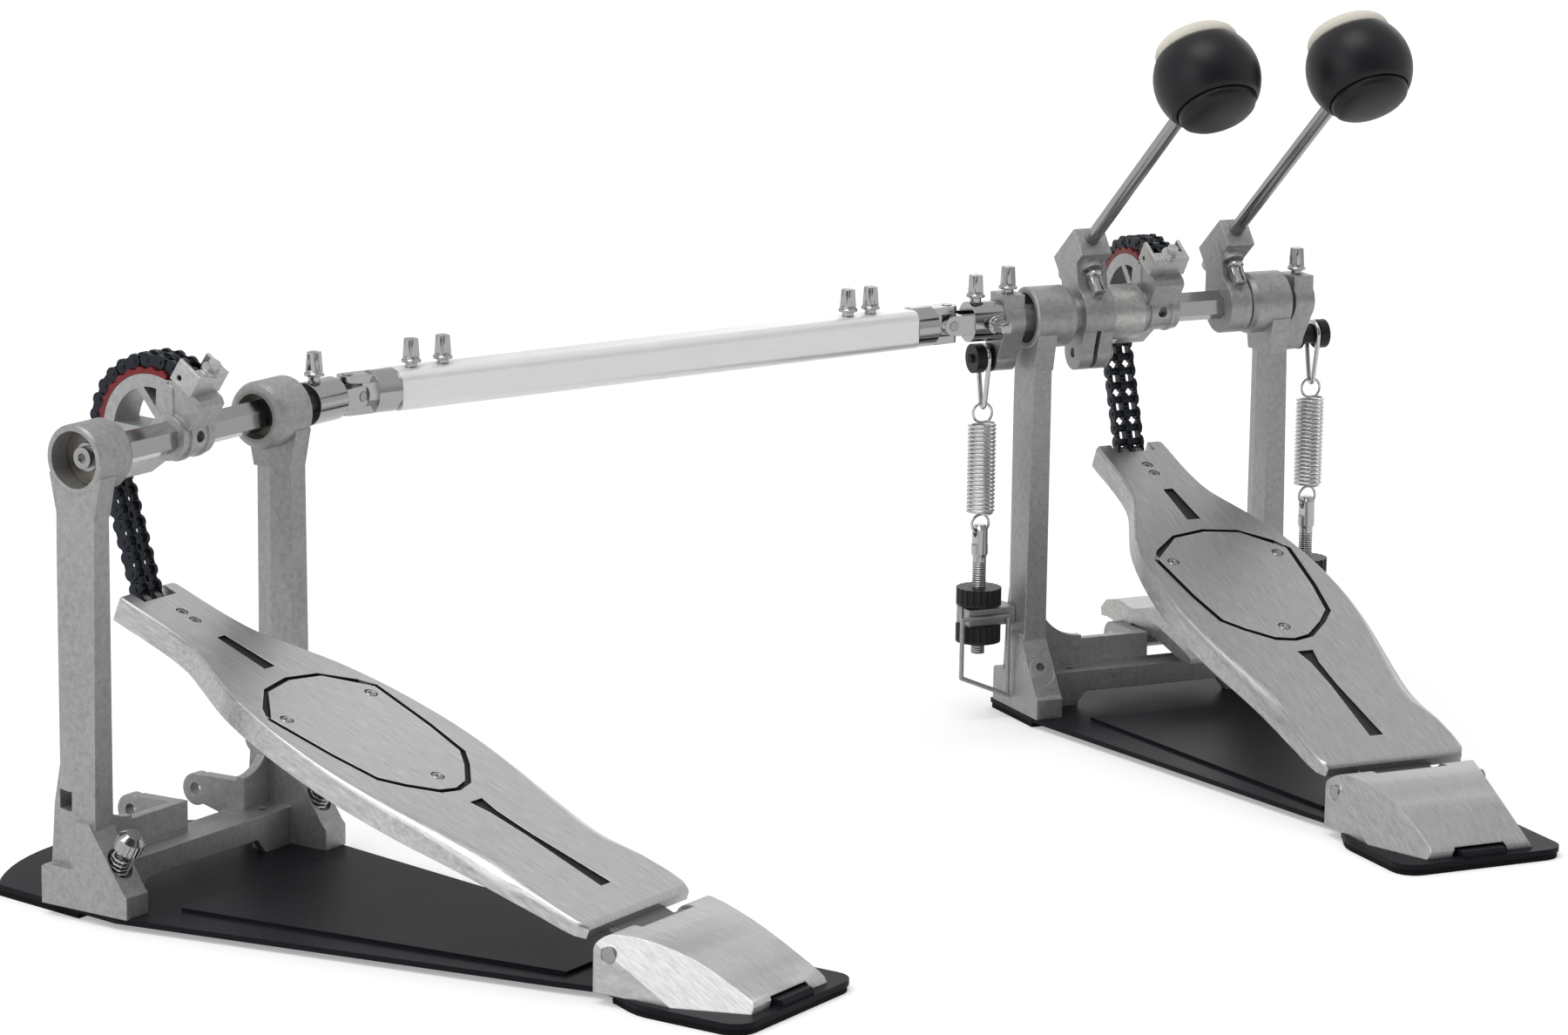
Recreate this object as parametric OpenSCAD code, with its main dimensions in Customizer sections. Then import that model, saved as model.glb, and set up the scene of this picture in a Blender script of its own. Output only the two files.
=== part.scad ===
// Double bass drum pedal: a main pedal with two beaters and a remote pedal that drives the
// left beater through a shaft with two universal joints.
// Frame: millimetres, +Z up, origin on the floor under the middle of the main pedal's axle.
// +X runs along the main axle to the player's right, +Y points to the drum.
// Each pedal is modelled in its own frame of the same kind, and the remote one is set in place.

/* [Stance] */
// Height of both axles above the floor
axle_h = 178; // [170:1:190]
// Remote pedal, place across
remote_x = -482.4; // [-520:1:-470]
// Remote pedal, place towards the drum
remote_y = -113; // [-130:1:-100]
// Remote pedal, turned outwards
remote_yaw = 31.6; // [24:0.1:36]

/* [Frame casting] */
// Half the width over the bearing bosses
frame_half = 63; // [62:0.5:66]
// Inner face of the left boss, from the middle
boss_in_left = 43; // [42:0.1:43.4]
// Inner face of the right boss, from the middle
boss_in_right = 43; // [42:0.1:43.4]
// Boss diameter
boss_d = 27; // [26:0.5:30]
// Post thickness across
post_w = 9; // [8:0.5:9.5]
// Post, how far its outer face spreads towards the floor
post_flare = 2.6; // [1:0.1:3]
// Post depth, front to back
post_d = 18.5; // [16:0.5:22]
// Cross beam, height of its ledge
ledge_z = 20; // [18:0.5:22]
// Cross beam, height of its rib
rib_z = 32; // [28:0.5:36]
// Cross beam wall
beam_wall = 3.2; // [2.6:0.1:4]
// Foot, reach of its tip towards the player
foot_reach = 25.7; // [22:0.1:28]
// Foot width
foot_w = 12.4; // [11:0.1:13]
// Outer face of the feet, beyond the boss face
foot_out = 3.2; // [2.8:0.1:5]
// Hoop clamp ears, middle between them
ear_mid = 20; // [18:0.5:22]
// Hoop clamp ears, clear space between them
ear_gap = 34.5; // [30:0.5:38]
// Hoop clamp ear thickness
ear_t = 5; // [4:0.5:6]
// Hoop clamp pivot, towards the drum
ear_y = 27; // [25:0.5:30]
// Hoop clamp pivot, height
ear_z = 25; // [24:0.5:27]
// Hoop clamp pivot bore
ear_bore = 5; // [4:0.5:6]

/* [Bearings and axles] */
// Bearing outer diameter
bearing_d = 22; // [20:0.5:23]
// Bearing width
bearing_w = 7; // [6:0.5:8]
// Bearing outer face, from the middle of the pedal
bearing_face = 54.6; // [54:0.1:58]
// Axle journal diameter
journal_d = 8; // [7:0.5:9]
// Hexagon axle, across flats
hex_af = 11; // [10:0.5:11.5]
// Sleeve on the main axle, journal diameter
sleeve_d = 12; // [11:0.5:13]
// Sleeve, diameter under the beater holder
sleeve_seat_d = 16; // [15:0.5:18]
// Sleeve, large diameter
sleeve_big_d = 24; // [20:0.5:25]
// Running clearance of turning parts, radial
run_gap = 0.05; // [0.02:0.01:0.08]
// Gap between faces that pass each other
face_gap = 0.3; // [0.2:0.05:0.5]

/* [Base] */
// Rubber pad thickness
pad_t = 2.4; // [2:0.1:3]
// Base plate thickness
plate_t = 2.2; // [1.6:0.1:3]
// Raised channel of the base plate
channel_h = 1.3; // [0.8:0.1:2]
// Base plate edge at the posts, beyond the boss face
plate_half = 3; // [1:0.5:7]
// Base plate half width before the heel
waist_half = 29; // [26:0.5:32]
// Base plate half width at the heel
heel_half = 38; // [36:0.5:40]
// Base plate heel end
heel_end = 287; // [284:1:292]
// Base plate drum end of the main pedal
main_toe_end = 19; // [17:0.5:24]
// Radius of the remote base plate's drum end
toe_arc_r = 95; // [90:1:110]

/* [Footboard] */
// Heel hinge, distance from the axle towards the player
hinge_y = 226.3; // [220:0.1:232]
// Heel hinge height
hinge_z = 19.4; // [18:0.1:21]
// Hinge pin diameter
hinge_pin_d = 6; // [5:0.5:7]
// Footboard slope at rest
board_tilt = 20.26; // [19:0.01:22]
// Footboard length
board_len = 251; // [246:1:254]
// Heel edge of the footboard, from the hinge along the board
board_start = 12.3; // [11:0.1:14]
// Top face of the footboard above the hinge axis
board_rise = 4.4; // [4.2:0.1:5]
// Footboard plate thickness
board_t = 4; // [3:0.5:4]
// Footboard skirt depth
skirt_h = 10; // [8:0.5:12]
// Skirt wall
skirt_w = 2.6; // [2:0.1:3.5]
// Toe notch, half width
notch_half = 9.5; // [8.5:0.1:11]
// Toe notch, depth
notch_depth = 7.5; // [6:0.5:9]
// Centre plate groove width
groove_w = 2.2; // [1.5:0.1:3]
// Centre plate recess depth
recess_h = 1.6; // [1.2:0.1:2]

/* [Chain and cam] */
// Chain pitch, quarter inch
pitch = 6.35; // [6.35:0.01:6.36]
// Radius of the chain pins round the cam
cam_r = 28.4; // [28:0.1:29]
// Cam centre ahead of the axle
cam_shift = 10; // [9:0.5:11]
// Hanging chain, angle from upright
run_tilt = 17.7; // [17:0.1:19]
// Hanging chain, number of links
run_links = 10; // [10:1:10]
// Links wound on the cam
wrap_links = 11; // [11:1:11]
// Links in each part that leaves the cam
peel_links = 3; // [3:1:3]
// Chain plate height
link_h = 5.8; // [5.4:0.1:6]
// Chain plate thickness
link_t = 0.75; // [0.6:0.05:0.8]
// Spacing of the two strands
strand = 6.4; // [6.3:0.1:6.6]
// Chain roller diameter
roller_d = 3.3; // [3:0.1:3.4]
// Chain pin diameter
chain_pin_d = 2.3; // [2:0.1:2.3]
// Cam width
cam_w = 15; // [14.5:0.5:16]
// Cam strip thickness
strip_t = 2.2; // [1.8:0.1:3]
// Cam rim thickness
rim_t = 5; // [4:0.5:6]
// Cam hub diameter
hub_d = 18; // [17:0.5:20]

/* [Beaters] */
// Left beater, place across
left_beater_x = -32; // [-32.2:0.1:-31.8]
// Right beater, place across
right_beater_x = 39.6; // [39:0.1:40]
// Width of a beater holder
holder_w = 14.4; // [13:0.1:14.6]
// Beater lean towards the player at rest
beater_lean = 50.2; // [48:0.1:52]
// Beater axis ahead of the axle
beater_offset = 24.6; // [24:0.1:26]
// Ball centre along the beater from the axle
ball_reach = 147.5; // [130:0.5:160]
// Beater shaft diameter
beater_d = 6.3; // [6:0.1:7]
// Shaft end below the holder
beater_tail = 9; // [4:0.5:10]
// Ball diameter
ball_d = 49; // [44:0.5:54]
// Felt face diameter
felt_d = 37; // [32:0.5:38]
// Felt thickness
felt_t = 6.5; // [5:0.5:8]

/* [Springs] */
// Left spring axis, beyond the boss face
left_spring_x = 16.6; // [16.4:0.1:18]
// Right spring axis, beyond the boss face
right_spring_x = 21.4; // [19:0.1:23]
// Spring axis ahead of the axle
spring_y = 6; // [5:0.5:6.5]
// Width of the rocker on each side
rocker_w = 9.6; // [9:0.1:10]
// Space between the boss and the rocker
rocker_space = 3.8; // [0.6:0.1:4]
// Rocker stud below the axle
stud_drop = 17.5; // [17:0.5:20]
// Spring coil outer diameter
coil_d = 12.7; // [12:0.1:13]
// Spring wire
coil_wire = 1.25; // [1:0.05:1.25]
// Spring turns
coil_turns = 22; // [18:1:22]
// Pitch of the turns
coil_pitch = 1.8; // [1.75:0.05:1.9]
// Wire link length, roller to ring
link_drop = 20; // [19:0.5:22]
// Wire link thickness
link_wire = 2.2; // [1.8:0.1:2.4]
// Spring lug height above the floor
lug_z = 46; // [44:0.5:50]
// Lug thickness
lug_h = 7.6; // [7:0.1:8]
// Tension rod diameter
rod_d = 6; // [5:0.5:6]
// Knurled nut diameter
nut_d = 19.8; // [18:0.2:21]
// Knurled nut height
nut_h = 7.6; // [7:0.1:8.5]

/* [Drive shaft] */
// Pivot of each universal joint, beyond the boss face
pivot_x = 38; // [38:1:41]
// Joint collar diameter
collar_d = 17.5; // [16.5:0.5:18]
// Joint pin diameter
joint_pin_d = 4; // [3.5:0.5:4]
// Fork cheek thickness
cheek_t = 3.4; // [3:0.1:3.6]
// Fork cheek half width
cheek_half = 4.3; // [4:0.1:4.4]
// Fork cheek inner face, from the joint's centre
cheek_in = 4.6; // [4.6:0.1:4.8]
// Square tube, across flats
tube_w = 16.5; // [16:0.5:18]
// Square tube, start from each pivot
tube_start = 21; // [20:0.5:24]
// Square tube, bore
tube_bore = 12; // [11:0.5:12.5]

/* [Hidden] */

$fn = 48;
far = 400;
slip = 0.01;

plate_z = pad_t + plate_t;
post_out = frame_half - 0.5;
post_in = post_out - post_w;
beam_front = -8;
rib_front = 2;
rib_back = rib_front + beam_wall + 0.8;
foot_face = frame_half + foot_out;
foot_in = foot_face - foot_w;
plate_side = frame_half + plate_half;
hex_end = bearing_face - bearing_w - 0.2;
hex_d = hex_af / cos(30);
spur_x = foot_in + foot_w / 2;
spur_y = -14.5;
spur_z = 19;
spur_lean = 30;
spur_d = 6;
spur_seat = 1.8;

strip_r = cam_r - link_h / 2 - 0.05;
rim_r = strip_r - strip_t;
wrap_step = 2 * asin(pitch / 2 / cam_r);
run_dir = [-sin(run_tilt), -cos(run_tilt)];
// Chain pins: 0 is where the chain leaves the cam, above it they go round the cam, and
// below it, with negative numbers, they hang in a straight line.
function chain_pin(i) = i >= 0
  ? [cam_shift + cam_r * cos(i * wrap_step - run_tilt), axle_h + cam_r * sin(i * wrap_step - run_tilt)]
  : chain_pin(0) - i * pitch * run_dir;
joint_high = 2 * peel_links;
joint_low = peel_links;

boss_holder_r = 12.5;
lobe_drop = 16.8;
right_holder_end = boss_in_right - face_gap;
right_holder_w = 10.2;
key_head = 4.9;
key_flange_d = 8;
key_stem_d = 4.6;
key_h = 11.5;
key_seat = 4;

// Universal joints: pivot, neck of each fork and the end of the axle inside its collar
pivot_at = frame_half + pivot_x;
neck = 9.9;
yoke_floor = 1;
journal_end = pivot_at - neck - yoke_floor - 0.1;
shaft_from = [remote_x + pivot_at * cos(remote_yaw), remote_y + pivot_at * sin(remote_yaw)];
shaft_to = [-pivot_at, 0];
shaft_len = norm(shaft_to - shaft_from);
shaft_yaw = atan2(shaft_to.y - shaft_from.y, shaft_to.x - shaft_from.x);

rocker_x = frame_half + rocker_space;
washer_t = 1;
upper_nut_z = lug_z + lug_h / 2 + washer_t + 0.2;
function spring_at(side) = frame_half + (side > 0 ? right_spring_x : left_spring_x);
coil_r = (coil_d - coil_wire) / 2;
link_top_r = 5.4;
link_low_r = 1.8;
stud_z = axle_h - stud_drop;
link_low_z = stud_z - link_drop - link_low_r;
ring_r = 4.3;
hook_rise = 0.55;
ring_top_z = link_low_z + link_wire / 2 + coil_wire / 2 + 0.1;
coil_top_z = ring_top_z - 2 * ring_r - hook_rise;
coil_low_z = coil_top_z - coil_turns * coil_pitch;
ring_low_z = coil_low_z - 2 * ring_r - hook_rise;

// Placing helpers
module remote() {
  translate([remote_x, remote_y, 0]) rotate(remote_yaw) children();
}

module on_axle() {
  translate([0, 0, axle_h]) children();
}

// Extrudes a side profile, drawn as (y, z), from x0 to x1
module along_x(x0, x1) {
  translate([x0, 0, 0]) rotate([90, 0, 90]) linear_extrude(x1 - x0) children();
}

// Turns a profile, drawn as (radius, x), round the X axis
module turned_x() {
  rotate([0, 90, 0]) rotate_extrude() children();
}

// Turns about the heel hinge into the board's frame: X across, Y along the board from its
// heel edge, Z square to it, with the top face at zero
module on_board() {
  translate([0, -hinge_y, hinge_z]) rotate([board_tilt, 0, 0]) translate([0, board_start, board_rise]) children();
}

// Drum key screw standing on the origin along +Z, its stem sunk by key_seat
module key_screw(stem = key_seat) {
  translate([0, 0, -stem]) cylinder(d = key_stem_d, h = stem + 2.2);
  translate([0, 0, 2]) cylinder(d1 = key_flange_d, d2 = key_flange_d - 1.6, h = 1.4);
  translate([0, 0, 3]) cylinder(d1 = key_flange_d - 1.2, d2 = key_head + 0.6, h = 1.2);
  intersection() {
    translate([-key_head / 2, -key_head / 2, 3]) cube([key_head, key_head, key_h - 3]);
    translate([0, 0, 2]) cylinder(d1 = key_head * 1.5, d2 = key_head * 1.18, h = key_h - 2);
  }
}

module key_hole() {
  translate([0, 0, -key_seat - 0.1]) cylinder(d = key_stem_d + 0.2, h = key_seat + far / 10);
}

// Frame casting
function post_section(side, spread) = [
  [side * (post_in + 0.6), beam_front - 1.3],
  [side * (post_out + spread), beam_front - 1.3],
  [side * (post_out + spread), 2],
  [side * (post_out + spread - 2.2), beam_front - 1.3 + post_d],
  [side * (post_in + 2.2), beam_front - 1.3 + post_d],
  [side * post_in, 1]];

module post(side) {
  top = axle_h - boss_d / 2 + 3;
  intersection() {
    translate([0, 0, plate_z]) linear_extrude(far) polygon(post_section(side, post_flare));
    rotate([90, 0, 0]) linear_extrude(far, center = true) polygon([[0, 0], [side * (post_out + post_flare), 0],
      [side * post_out, top], [0, top]]);
  }
  along_x(side > 0 ? post_in + 0.6 : -post_out, side > 0 ? post_out : -post_in - 0.6)
    polygon([[beam_front, plate_z], [beam_front, 70], [beam_front + post_d - 3, 70],
      [beam_front + post_d + 2, 44], [beam_front + post_d + 5, plate_z]]);
}

module boss(side, inner) {
  edge = 3;
  on_axle() mirror([side > 0 ? 0 : 1, 0, 0]) turned_x() {
    polygon([[0, inner], [boss_d / 2 - edge, inner], [boss_d / 2 - edge * 0.3, inner + edge * 0.3],
      [boss_d / 2, inner + edge], [boss_d / 2, frame_half - 0.8], [boss_d / 2 - 0.8, frame_half],
      [0, frame_half]]);
  }
  neck_x = side > 0 ? post_in : -post_out;
  along_x(neck_x, neck_x + post_w) polygon([[-boss_d / 2 + 1, axle_h - 6], [boss_d / 2 - 1, axle_h - 6],
    [beam_front - 1.3 + post_d, axle_h - 22], [beam_front - 1.3, axle_h - 22]]);
}

module foot(side) {
  x0 = side > 0 ? foot_in : -foot_in - foot_w;
  along_x(x0, x0 + foot_w) polygon([[0, plate_z], [-foot_reach, plate_z], [-foot_reach, plate_z + 8.5],
    [-foot_reach + 1.5, plate_z + 10], [beam_front + 0.5, 39], [0, 39]]);
  along_x(x0, x0 + foot_w) polygon([[0, plate_z], [16.5, plate_z], [16.5, 19], [15, ledge_z], [0, ledge_z]]);
}

// One rib of the beam with its curved rise into the post
module rib(side, x_end) {
  rise_r = min(24, post_in + 1 - side * x_end);
  x_post = post_in + 1;
  difference() {
    translate([0, rib_back, 0]) rotate([90, 0, 0]) linear_extrude(rib_back - rib_front)
      polygon([[x_end, ledge_z - 1], [side * x_post, ledge_z - 1], [side * x_post, rib_z + rise_r],
        [side * (x_post - rise_r), rib_z + rise_r], [side * (x_post - rise_r), rib_z], [x_end, rib_z]]);
    translate([side * (x_post - rise_r), rib_back + slip, rib_z + rise_r]) rotate([90, 0, 0])
      cylinder(r = rise_r - 1.5, h = rib_back - rib_front + 2 * slip, $fn = 96);
    translate([side * (x_post - rise_r) - rise_r * (side > 0 ? 1 : 0) - (side > 0 ? 40 : 0), 0, rib_z])
      cube([side > 0 ? rise_r + 40 : rise_r + 40, 3 * rib_back, rise_r + 1]);
  }
}

module ear(x0) {
  difference() {
    union() {
      along_x(x0, x0 + ear_t) {
        polygon([[rib_front, ledge_z - beam_wall], [rib_front, rib_z], [ear_y - 3, ear_z + 6.5],
          [ear_y + 2, ear_z - 4], [rib_back + 6, ledge_z - beam_wall]]);
        translate([ear_y, ear_z]) circle(d = 13);
      }
    }
    along_x(x0 - 1, x0 + ear_t + 1) translate([ear_y, ear_z]) circle(d = ear_bore);
  }
}

module beam() {
  half = post_in + 2;
  span = 33;
  difference() {
    along_x(-half, half) polygon([[beam_front, plate_z], [beam_front + beam_wall, plate_z],
      [beam_front + beam_wall, ledge_z - beam_wall], [rib_back + 8, ledge_z - beam_wall],
      [rib_back + 8, ledge_z], [beam_front, ledge_z]]);
    translate([0, 0, plate_z - slip]) rotate([90, 0, 0]) linear_extrude(far, center = true)
      polygon([[-span - 5, 0], [-span, 6], [span, 6], [span + 5, 0]]);
    for (x = [-38, 44]) translate([x, -1.5, 0]) cylinder(d = 4.4, h = far);
    translate([ear_mid - ear_gap / 2, rib_front, ledge_z - 2]) cube([ear_gap, far, far]);
  }
  for (x = [-38, 44]) translate([x, -1.5, plate_z]) difference() {
    cylinder(d = 8, h = ledge_z - plate_z - slip);
    translate([0, 0, -1]) cylinder(d = 4.4, h = far);
  }
}

module frame_casting() {
  seat_in = bearing_face - bearing_w;
  color([0.66, 0.66, 0.66]) difference() {
    union() {
      boss(-1, boss_in_left);
      boss(1, boss_in_right);
      for (side = [-1, 1]) {
        post(side);
        foot(side);
        lug_boss = side > 0 ? post_in - 3.5 : -post_in - 1;
        translate([lug_boss, spring_y, lug_z]) rotate([0, 90, 0]) cylinder(d = 12, h = 4.5);
      }
      beam();
      rib(-1, ear_mid - ear_gap / 2);
      rib(1, ear_mid + ear_gap / 2);
      ear(ear_mid - ear_gap / 2 - ear_t);
      ear(ear_mid + ear_gap / 2);
    }
    for (side = [-1, 1]) {
      on_axle() mirror([side > 0 ? 0 : 1, 0, 0]) rotate([0, 90, 0]) {
        translate([0, 0, seat_in]) cylinder(d = bearing_d, h = far);
        cylinder(d = bearing_d - 4, h = far);
      }
      translate([side * (post_in + post_w), spring_y, lug_z]) cube([2 * post_w - 3, lug_h, lug_h], center = true);
      translate([side * frame_half, spring_y, lug_z]) rotate([0, 90, 0]) cylinder(d = 5.2, h = 60, center = true);
      translate([side * spur_x, spur_y, spur_z]) rotate([spur_lean, 0, 0]) {
        cylinder(d = spur_d + 0.6, h = 120, center = true);
        translate([0, 0, spur_seat]) cylinder(d = 11.4, h = 60);
      }
    }
  }
}

// Base plates and rubber pads
function side_outline(side, inset) = [
  [side * (plate_side - inset), -20],
  [side * (waist_half + 4 - inset), -200],
  [side * (waist_half - inset), -218],
  for (a = [0:15:90]) [side * (waist_half - inset + (heel_half - waist_half) * (1 - cos(a * 2)) / 2), -218 - 27 * a / 90],
  for (a = [0:15:90]) [side * (heel_half - 9 - inset + 9 * cos(a)), -heel_end + 9 + inset - 9 * sin(a)]];

function toe_outline(ped, inset) = ped == "main"
  ? [for (side = [1, -1]) [side * (plate_side - inset), main_toe_end - inset]]
  : [for (a = [37.6:-5:-37.6]) [(toe_arc_r - inset) * sin(a), (toe_arc_r - inset) * cos(a) - 29]];

function reversed(list) = [for (i = [len(list) - 1:-1:0]) list[i]];

module plate_shape(ped, inset = 0) {
  polygon(concat(reversed(side_outline(1, inset)), toe_outline(ped, inset), side_outline(-1, inset)));
}

module spur_cuts(d) {
  for (side = [-1, 1]) translate([side * spur_x, spur_y, spur_z]) rotate([spur_lean, 0, 0])
    cylinder(d = d, h = 120, center = true);
}

// Raised middle of the base plate
module channel_shape(inset) {
  polygon([[44 - inset, -34 - inset], [-44 + inset, -34 - inset], [-24 + inset, -200 + inset], [24 - inset, -200 + inset]]);
}

module heel_hump(grow, top) {
  along_x(-10 - grow, 10 + grow) polygon([[-heel_end + 1, pad_t], [-heel_end + 1, top - 1.2], [-heel_end + 2.2, top],
    [-heel_end + 14, top], [-heel_end + 16, pad_t]]);
}

module baseplate(ped) {
  color([0.10, 0.10, 0.11]) difference() {
    union() {
      translate([0, 0, pad_t]) linear_extrude(plate_t) plate_shape(ped);
      translate([0, 0, plate_z - slip]) linear_extrude(channel_h + slip) channel_shape(0);
      heel_hump(0, plate_z + 2.6);
    }
    translate([0, 0, pad_t - slip]) linear_extrude(channel_h + slip) channel_shape(2);
    spur_cuts(spur_d + 2);
  }
}

module rubber_pad(ped) {
  color([0.06, 0.06, 0.06]) difference() {
    linear_extrude(pad_t) intersection() {
      plate_shape(ped, 0.5);
      union() {
        translate([-far / 2, -heel_end]) square([far, 62]);
        translate([-far / 2, ped == "main" ? -20 : 1]) square([far, far]);
      }
    }
    spur_cuts(spur_d + 2);
    for (y = [-heel_end + 16:8:-heel_end + 48]) translate([0, y, -slip]) cube([44, 3, 1.6], center = true);
  }
}

// Heel block with its pressed-in hinge pin
module heel_block() {
  back = -hinge_y + 6.6;
  front = -282;
  round_r = 7;
  color([0.72, 0.72, 0.72]) difference() {
    intersection() {
      along_x(-40, 40) {
        polygon([[back, plate_z], [back, hinge_z], [-hinge_y, hinge_z + round_r],
          [-hinge_y - 6, hinge_z + round_r - 0.6], [-255, 19.4], [-272, 13.6], [front + 1.5, 9.6],
          [front, 8], [front, plate_z]]);
        translate([-hinge_y, hinge_z]) circle(r = round_r, $fn = 64);
      }
      linear_extrude(far) polygon([[35, back + 1], [-35, back + 1], [-35, -236], [-29.5, front + 5], [-26, front],
        [26, front], [29.5, front + 5], [35, -236]]);
    }
    for (side = [-1, 1]) mirror([side > 0 ? 0 : 1, 0, 0])
      translate([33.4, -250, 24.5]) rotate([-17, 40, -9]) translate([0, -60, -20]) cube([30, 120, 60]);
    along_x(-16.6, 16.6) {
      translate([-hinge_y, hinge_z]) circle(r = 6.6);
      translate([-hinge_y, hinge_z - 6.6]) square([20, 40]);
      translate([-hinge_y, hinge_z]) rotate(board_tilt - 90) translate([-3.2, 0]) square([6.4, 20]);
    }
    along_x(-40, 40) translate([-hinge_y, hinge_z]) circle(d = hinge_pin_d + 0.02);
    heel_hump(1.6, plate_z + 2.6 + face_gap);
    translate([-24, -270, plate_z - slip]) cube([48, 32, 4]);
  }
  color([0.80, 0.80, 0.80]) along_x(-33.5, 33.5) translate([-hinge_y, hinge_z]) circle(d = hinge_pin_d);
}

// Footboard: its plan is drawn for this length and follows the real one
plan_len = 251;
function plan(y) = y * board_len / plan_len;

// Half widths along the footboard, joined by a smooth curve
board_stations = concat(
  [for (p = [[0, 31.5], [4, 34], [22, 34.6], [48, 34.4], [70, 36.6], [95, 40], [118, 41.5], [140, 40.4],
    [160, 37.4], [178, 32.6], [194, 25.4], [208, 19.2], [222, 17], [236, 16.6]]) [plan(p[0]), p[1]]],
  [[board_len - 1.2, 16.5], [board_len, 15.3]]);

// Lowest chain pin in the board's own frame: along it and above its top face
chain_end = chain_pin(-run_links);
chain_s = (chain_end.x + hinge_y) * cos(board_tilt) + (chain_end.y - hinge_z) * sin(board_tilt) - board_start;
chain_n = (chain_end.y - hinge_z) * cos(board_tilt) - (chain_end.x + hinge_y) * sin(board_tilt) - board_rise;

// Notch and chain anchor keep to the toe, and never pass the chain
notch_from = min(board_len - notch_depth, chain_s - 4.1);
anchor_end = min(board_len - 9.5, chain_s - 6.1);
anchor_len = 22.5;
toe_screws = [anchor_end - 16.5, anchor_end - 9.5];

function spline(p, i, t) = let (
    a = p[max(i - 1, 0)], b = p[i], c = p[i + 1], d = p[min(i + 2, len(p) - 1)],
    m = (c - a) / max(c[0] - a[0], 1) * (c[0] - b[0]),
    n = (d - b) / max(d[0] - b[0], 1) * (c[0] - b[0]))
  [b[0] + (c[0] - b[0]) * t,
   (2 * t * t * t - 3 * t * t + 1) * b[1] + (t * t * t - 2 * t * t + t) * m[1]
   + (3 * t * t - 2 * t * t * t) * c[1] + (t * t * t - t * t) * n[1]];

board_edge = concat([board_stations[0]],
  [for (i = [1:len(board_stations) - 3], t = [0, 0.25, 0.5, 0.75]) spline(board_stations, i, t)],
  [board_stations[len(board_stations) - 2], board_stations[len(board_stations) - 1]]);

module board_shape(inset, from = 0, to = board_len) {
  pts = [for (p = board_edge) if (p[0] >= from && p[0] <= to) [p[1] - inset, p[0]]];
  polygon(concat(pts, reversed([for (p = pts) [-p[0], p[1]]])));
}

shield_half = 33.5;
shield_top = plan(178);
shield_low = plan(88.5);
module shield(inset) {
  side = [[16, shield_top - 3 - inset], [shield_half - 5 - inset, plan(165) - inset],
    [shield_half - inset, plan(158)], [shield_half - 3 - inset, plan(128)], [27 - inset, plan(108) + inset / 2],
    [20 - inset, plan(100) + inset / 2], [9 - inset / 2, shield_low + 2 + inset]];
  polygon(concat([[0, shield_top - inset]], side, [[0, shield_low + inset]],
    reversed([for (p = side) [-p[0], p[1]]])));
}

module footboard() {
  color([0.78, 0.78, 0.78]) on_board() difference() {
    union() {
      translate([0, 0, -board_t]) linear_extrude(board_t) board_shape(0);
      translate([0, 0, -skirt_h]) linear_extrude(skirt_h - 1) difference() {
        board_shape(-0.4, 3, board_len);
        board_shape(skirt_w, 3, board_len - 3);
        translate([-17, -10]) square([34, 24]);
        translate([-notch_half, anchor_end - anchor_len + 1]) square([2 * notch_half, far]);
      }
      for (y = [plan(60), plan(110), plan(160), anchor_end - 41.5]) translate([0, y, -board_t - 1.8]) intersection() {
        cube([far, 2.2, 4], center = true);
        translate([0, -y, -2]) linear_extrude(4) board_shape(1);
      }
      for (x = [-14, 14]) translate([x - 1, plan(40), -board_t - 3.8]) cube([2, plan(160), 4]);
    }
    translate([-notch_half, notch_from, -far / 2]) cube([2 * notch_half, far, far]);
    translate([0, 0, -recess_h]) linear_extrude(far) shield(0);
    translate([0, 0, -1.2]) linear_extrude(far) {
      polygon([for (p = [[-2.2, 211.5], [2.2, 211.5], [3.2, 186], [-2.8, 186]]) [p[0], plan(p[1])]]);
      polygon([for (p = [[-3.5, 81], [3.5, 81], [1.6, 72], [2.9, 17], [-2.9, 17], [-1.6, 72]]) [p[0], plan(p[1])]]);
    }
    for (y = toe_screws) translate([0, y, -far / 2]) cylinder(d = 3.4, h = far);
    for (y = toe_screws) translate([0, y, -1.4]) cylinder(d = 5, h = far);
  }
}

module foot_plate() {
  color([0.80, 0.80, 0.80]) on_board() difference() {
    translate([0, 0, -recess_h + 0.02]) linear_extrude(recess_h - 0.02) shield(groove_w);
    for (p = [[-25.5, 155], [25.5, 155], [0, 100]]) translate([p[0], plan(p[1]), -0.8]) cylinder(d = 5.4, h = 2);
  }
}

leaf_t = 2.6;
module hinge_leaf() {
  knuckle_r = 5.6;
  color([0.38, 0.38, 0.38]) on_board() difference() {
    union() {
      translate([-16, -board_start, -board_t - leaf_t]) cube([32, board_start + 26, leaf_t - 0.02]);
      translate([-16, -board_start, -board_rise]) rotate([0, 90, 0]) cylinder(r = knuckle_r, h = 32);
    }
    translate([-20, -board_start, -board_rise]) rotate([0, 90, 0])
      cylinder(d = hinge_pin_d + 2 * run_gap, h = 40);
  }
}

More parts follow.
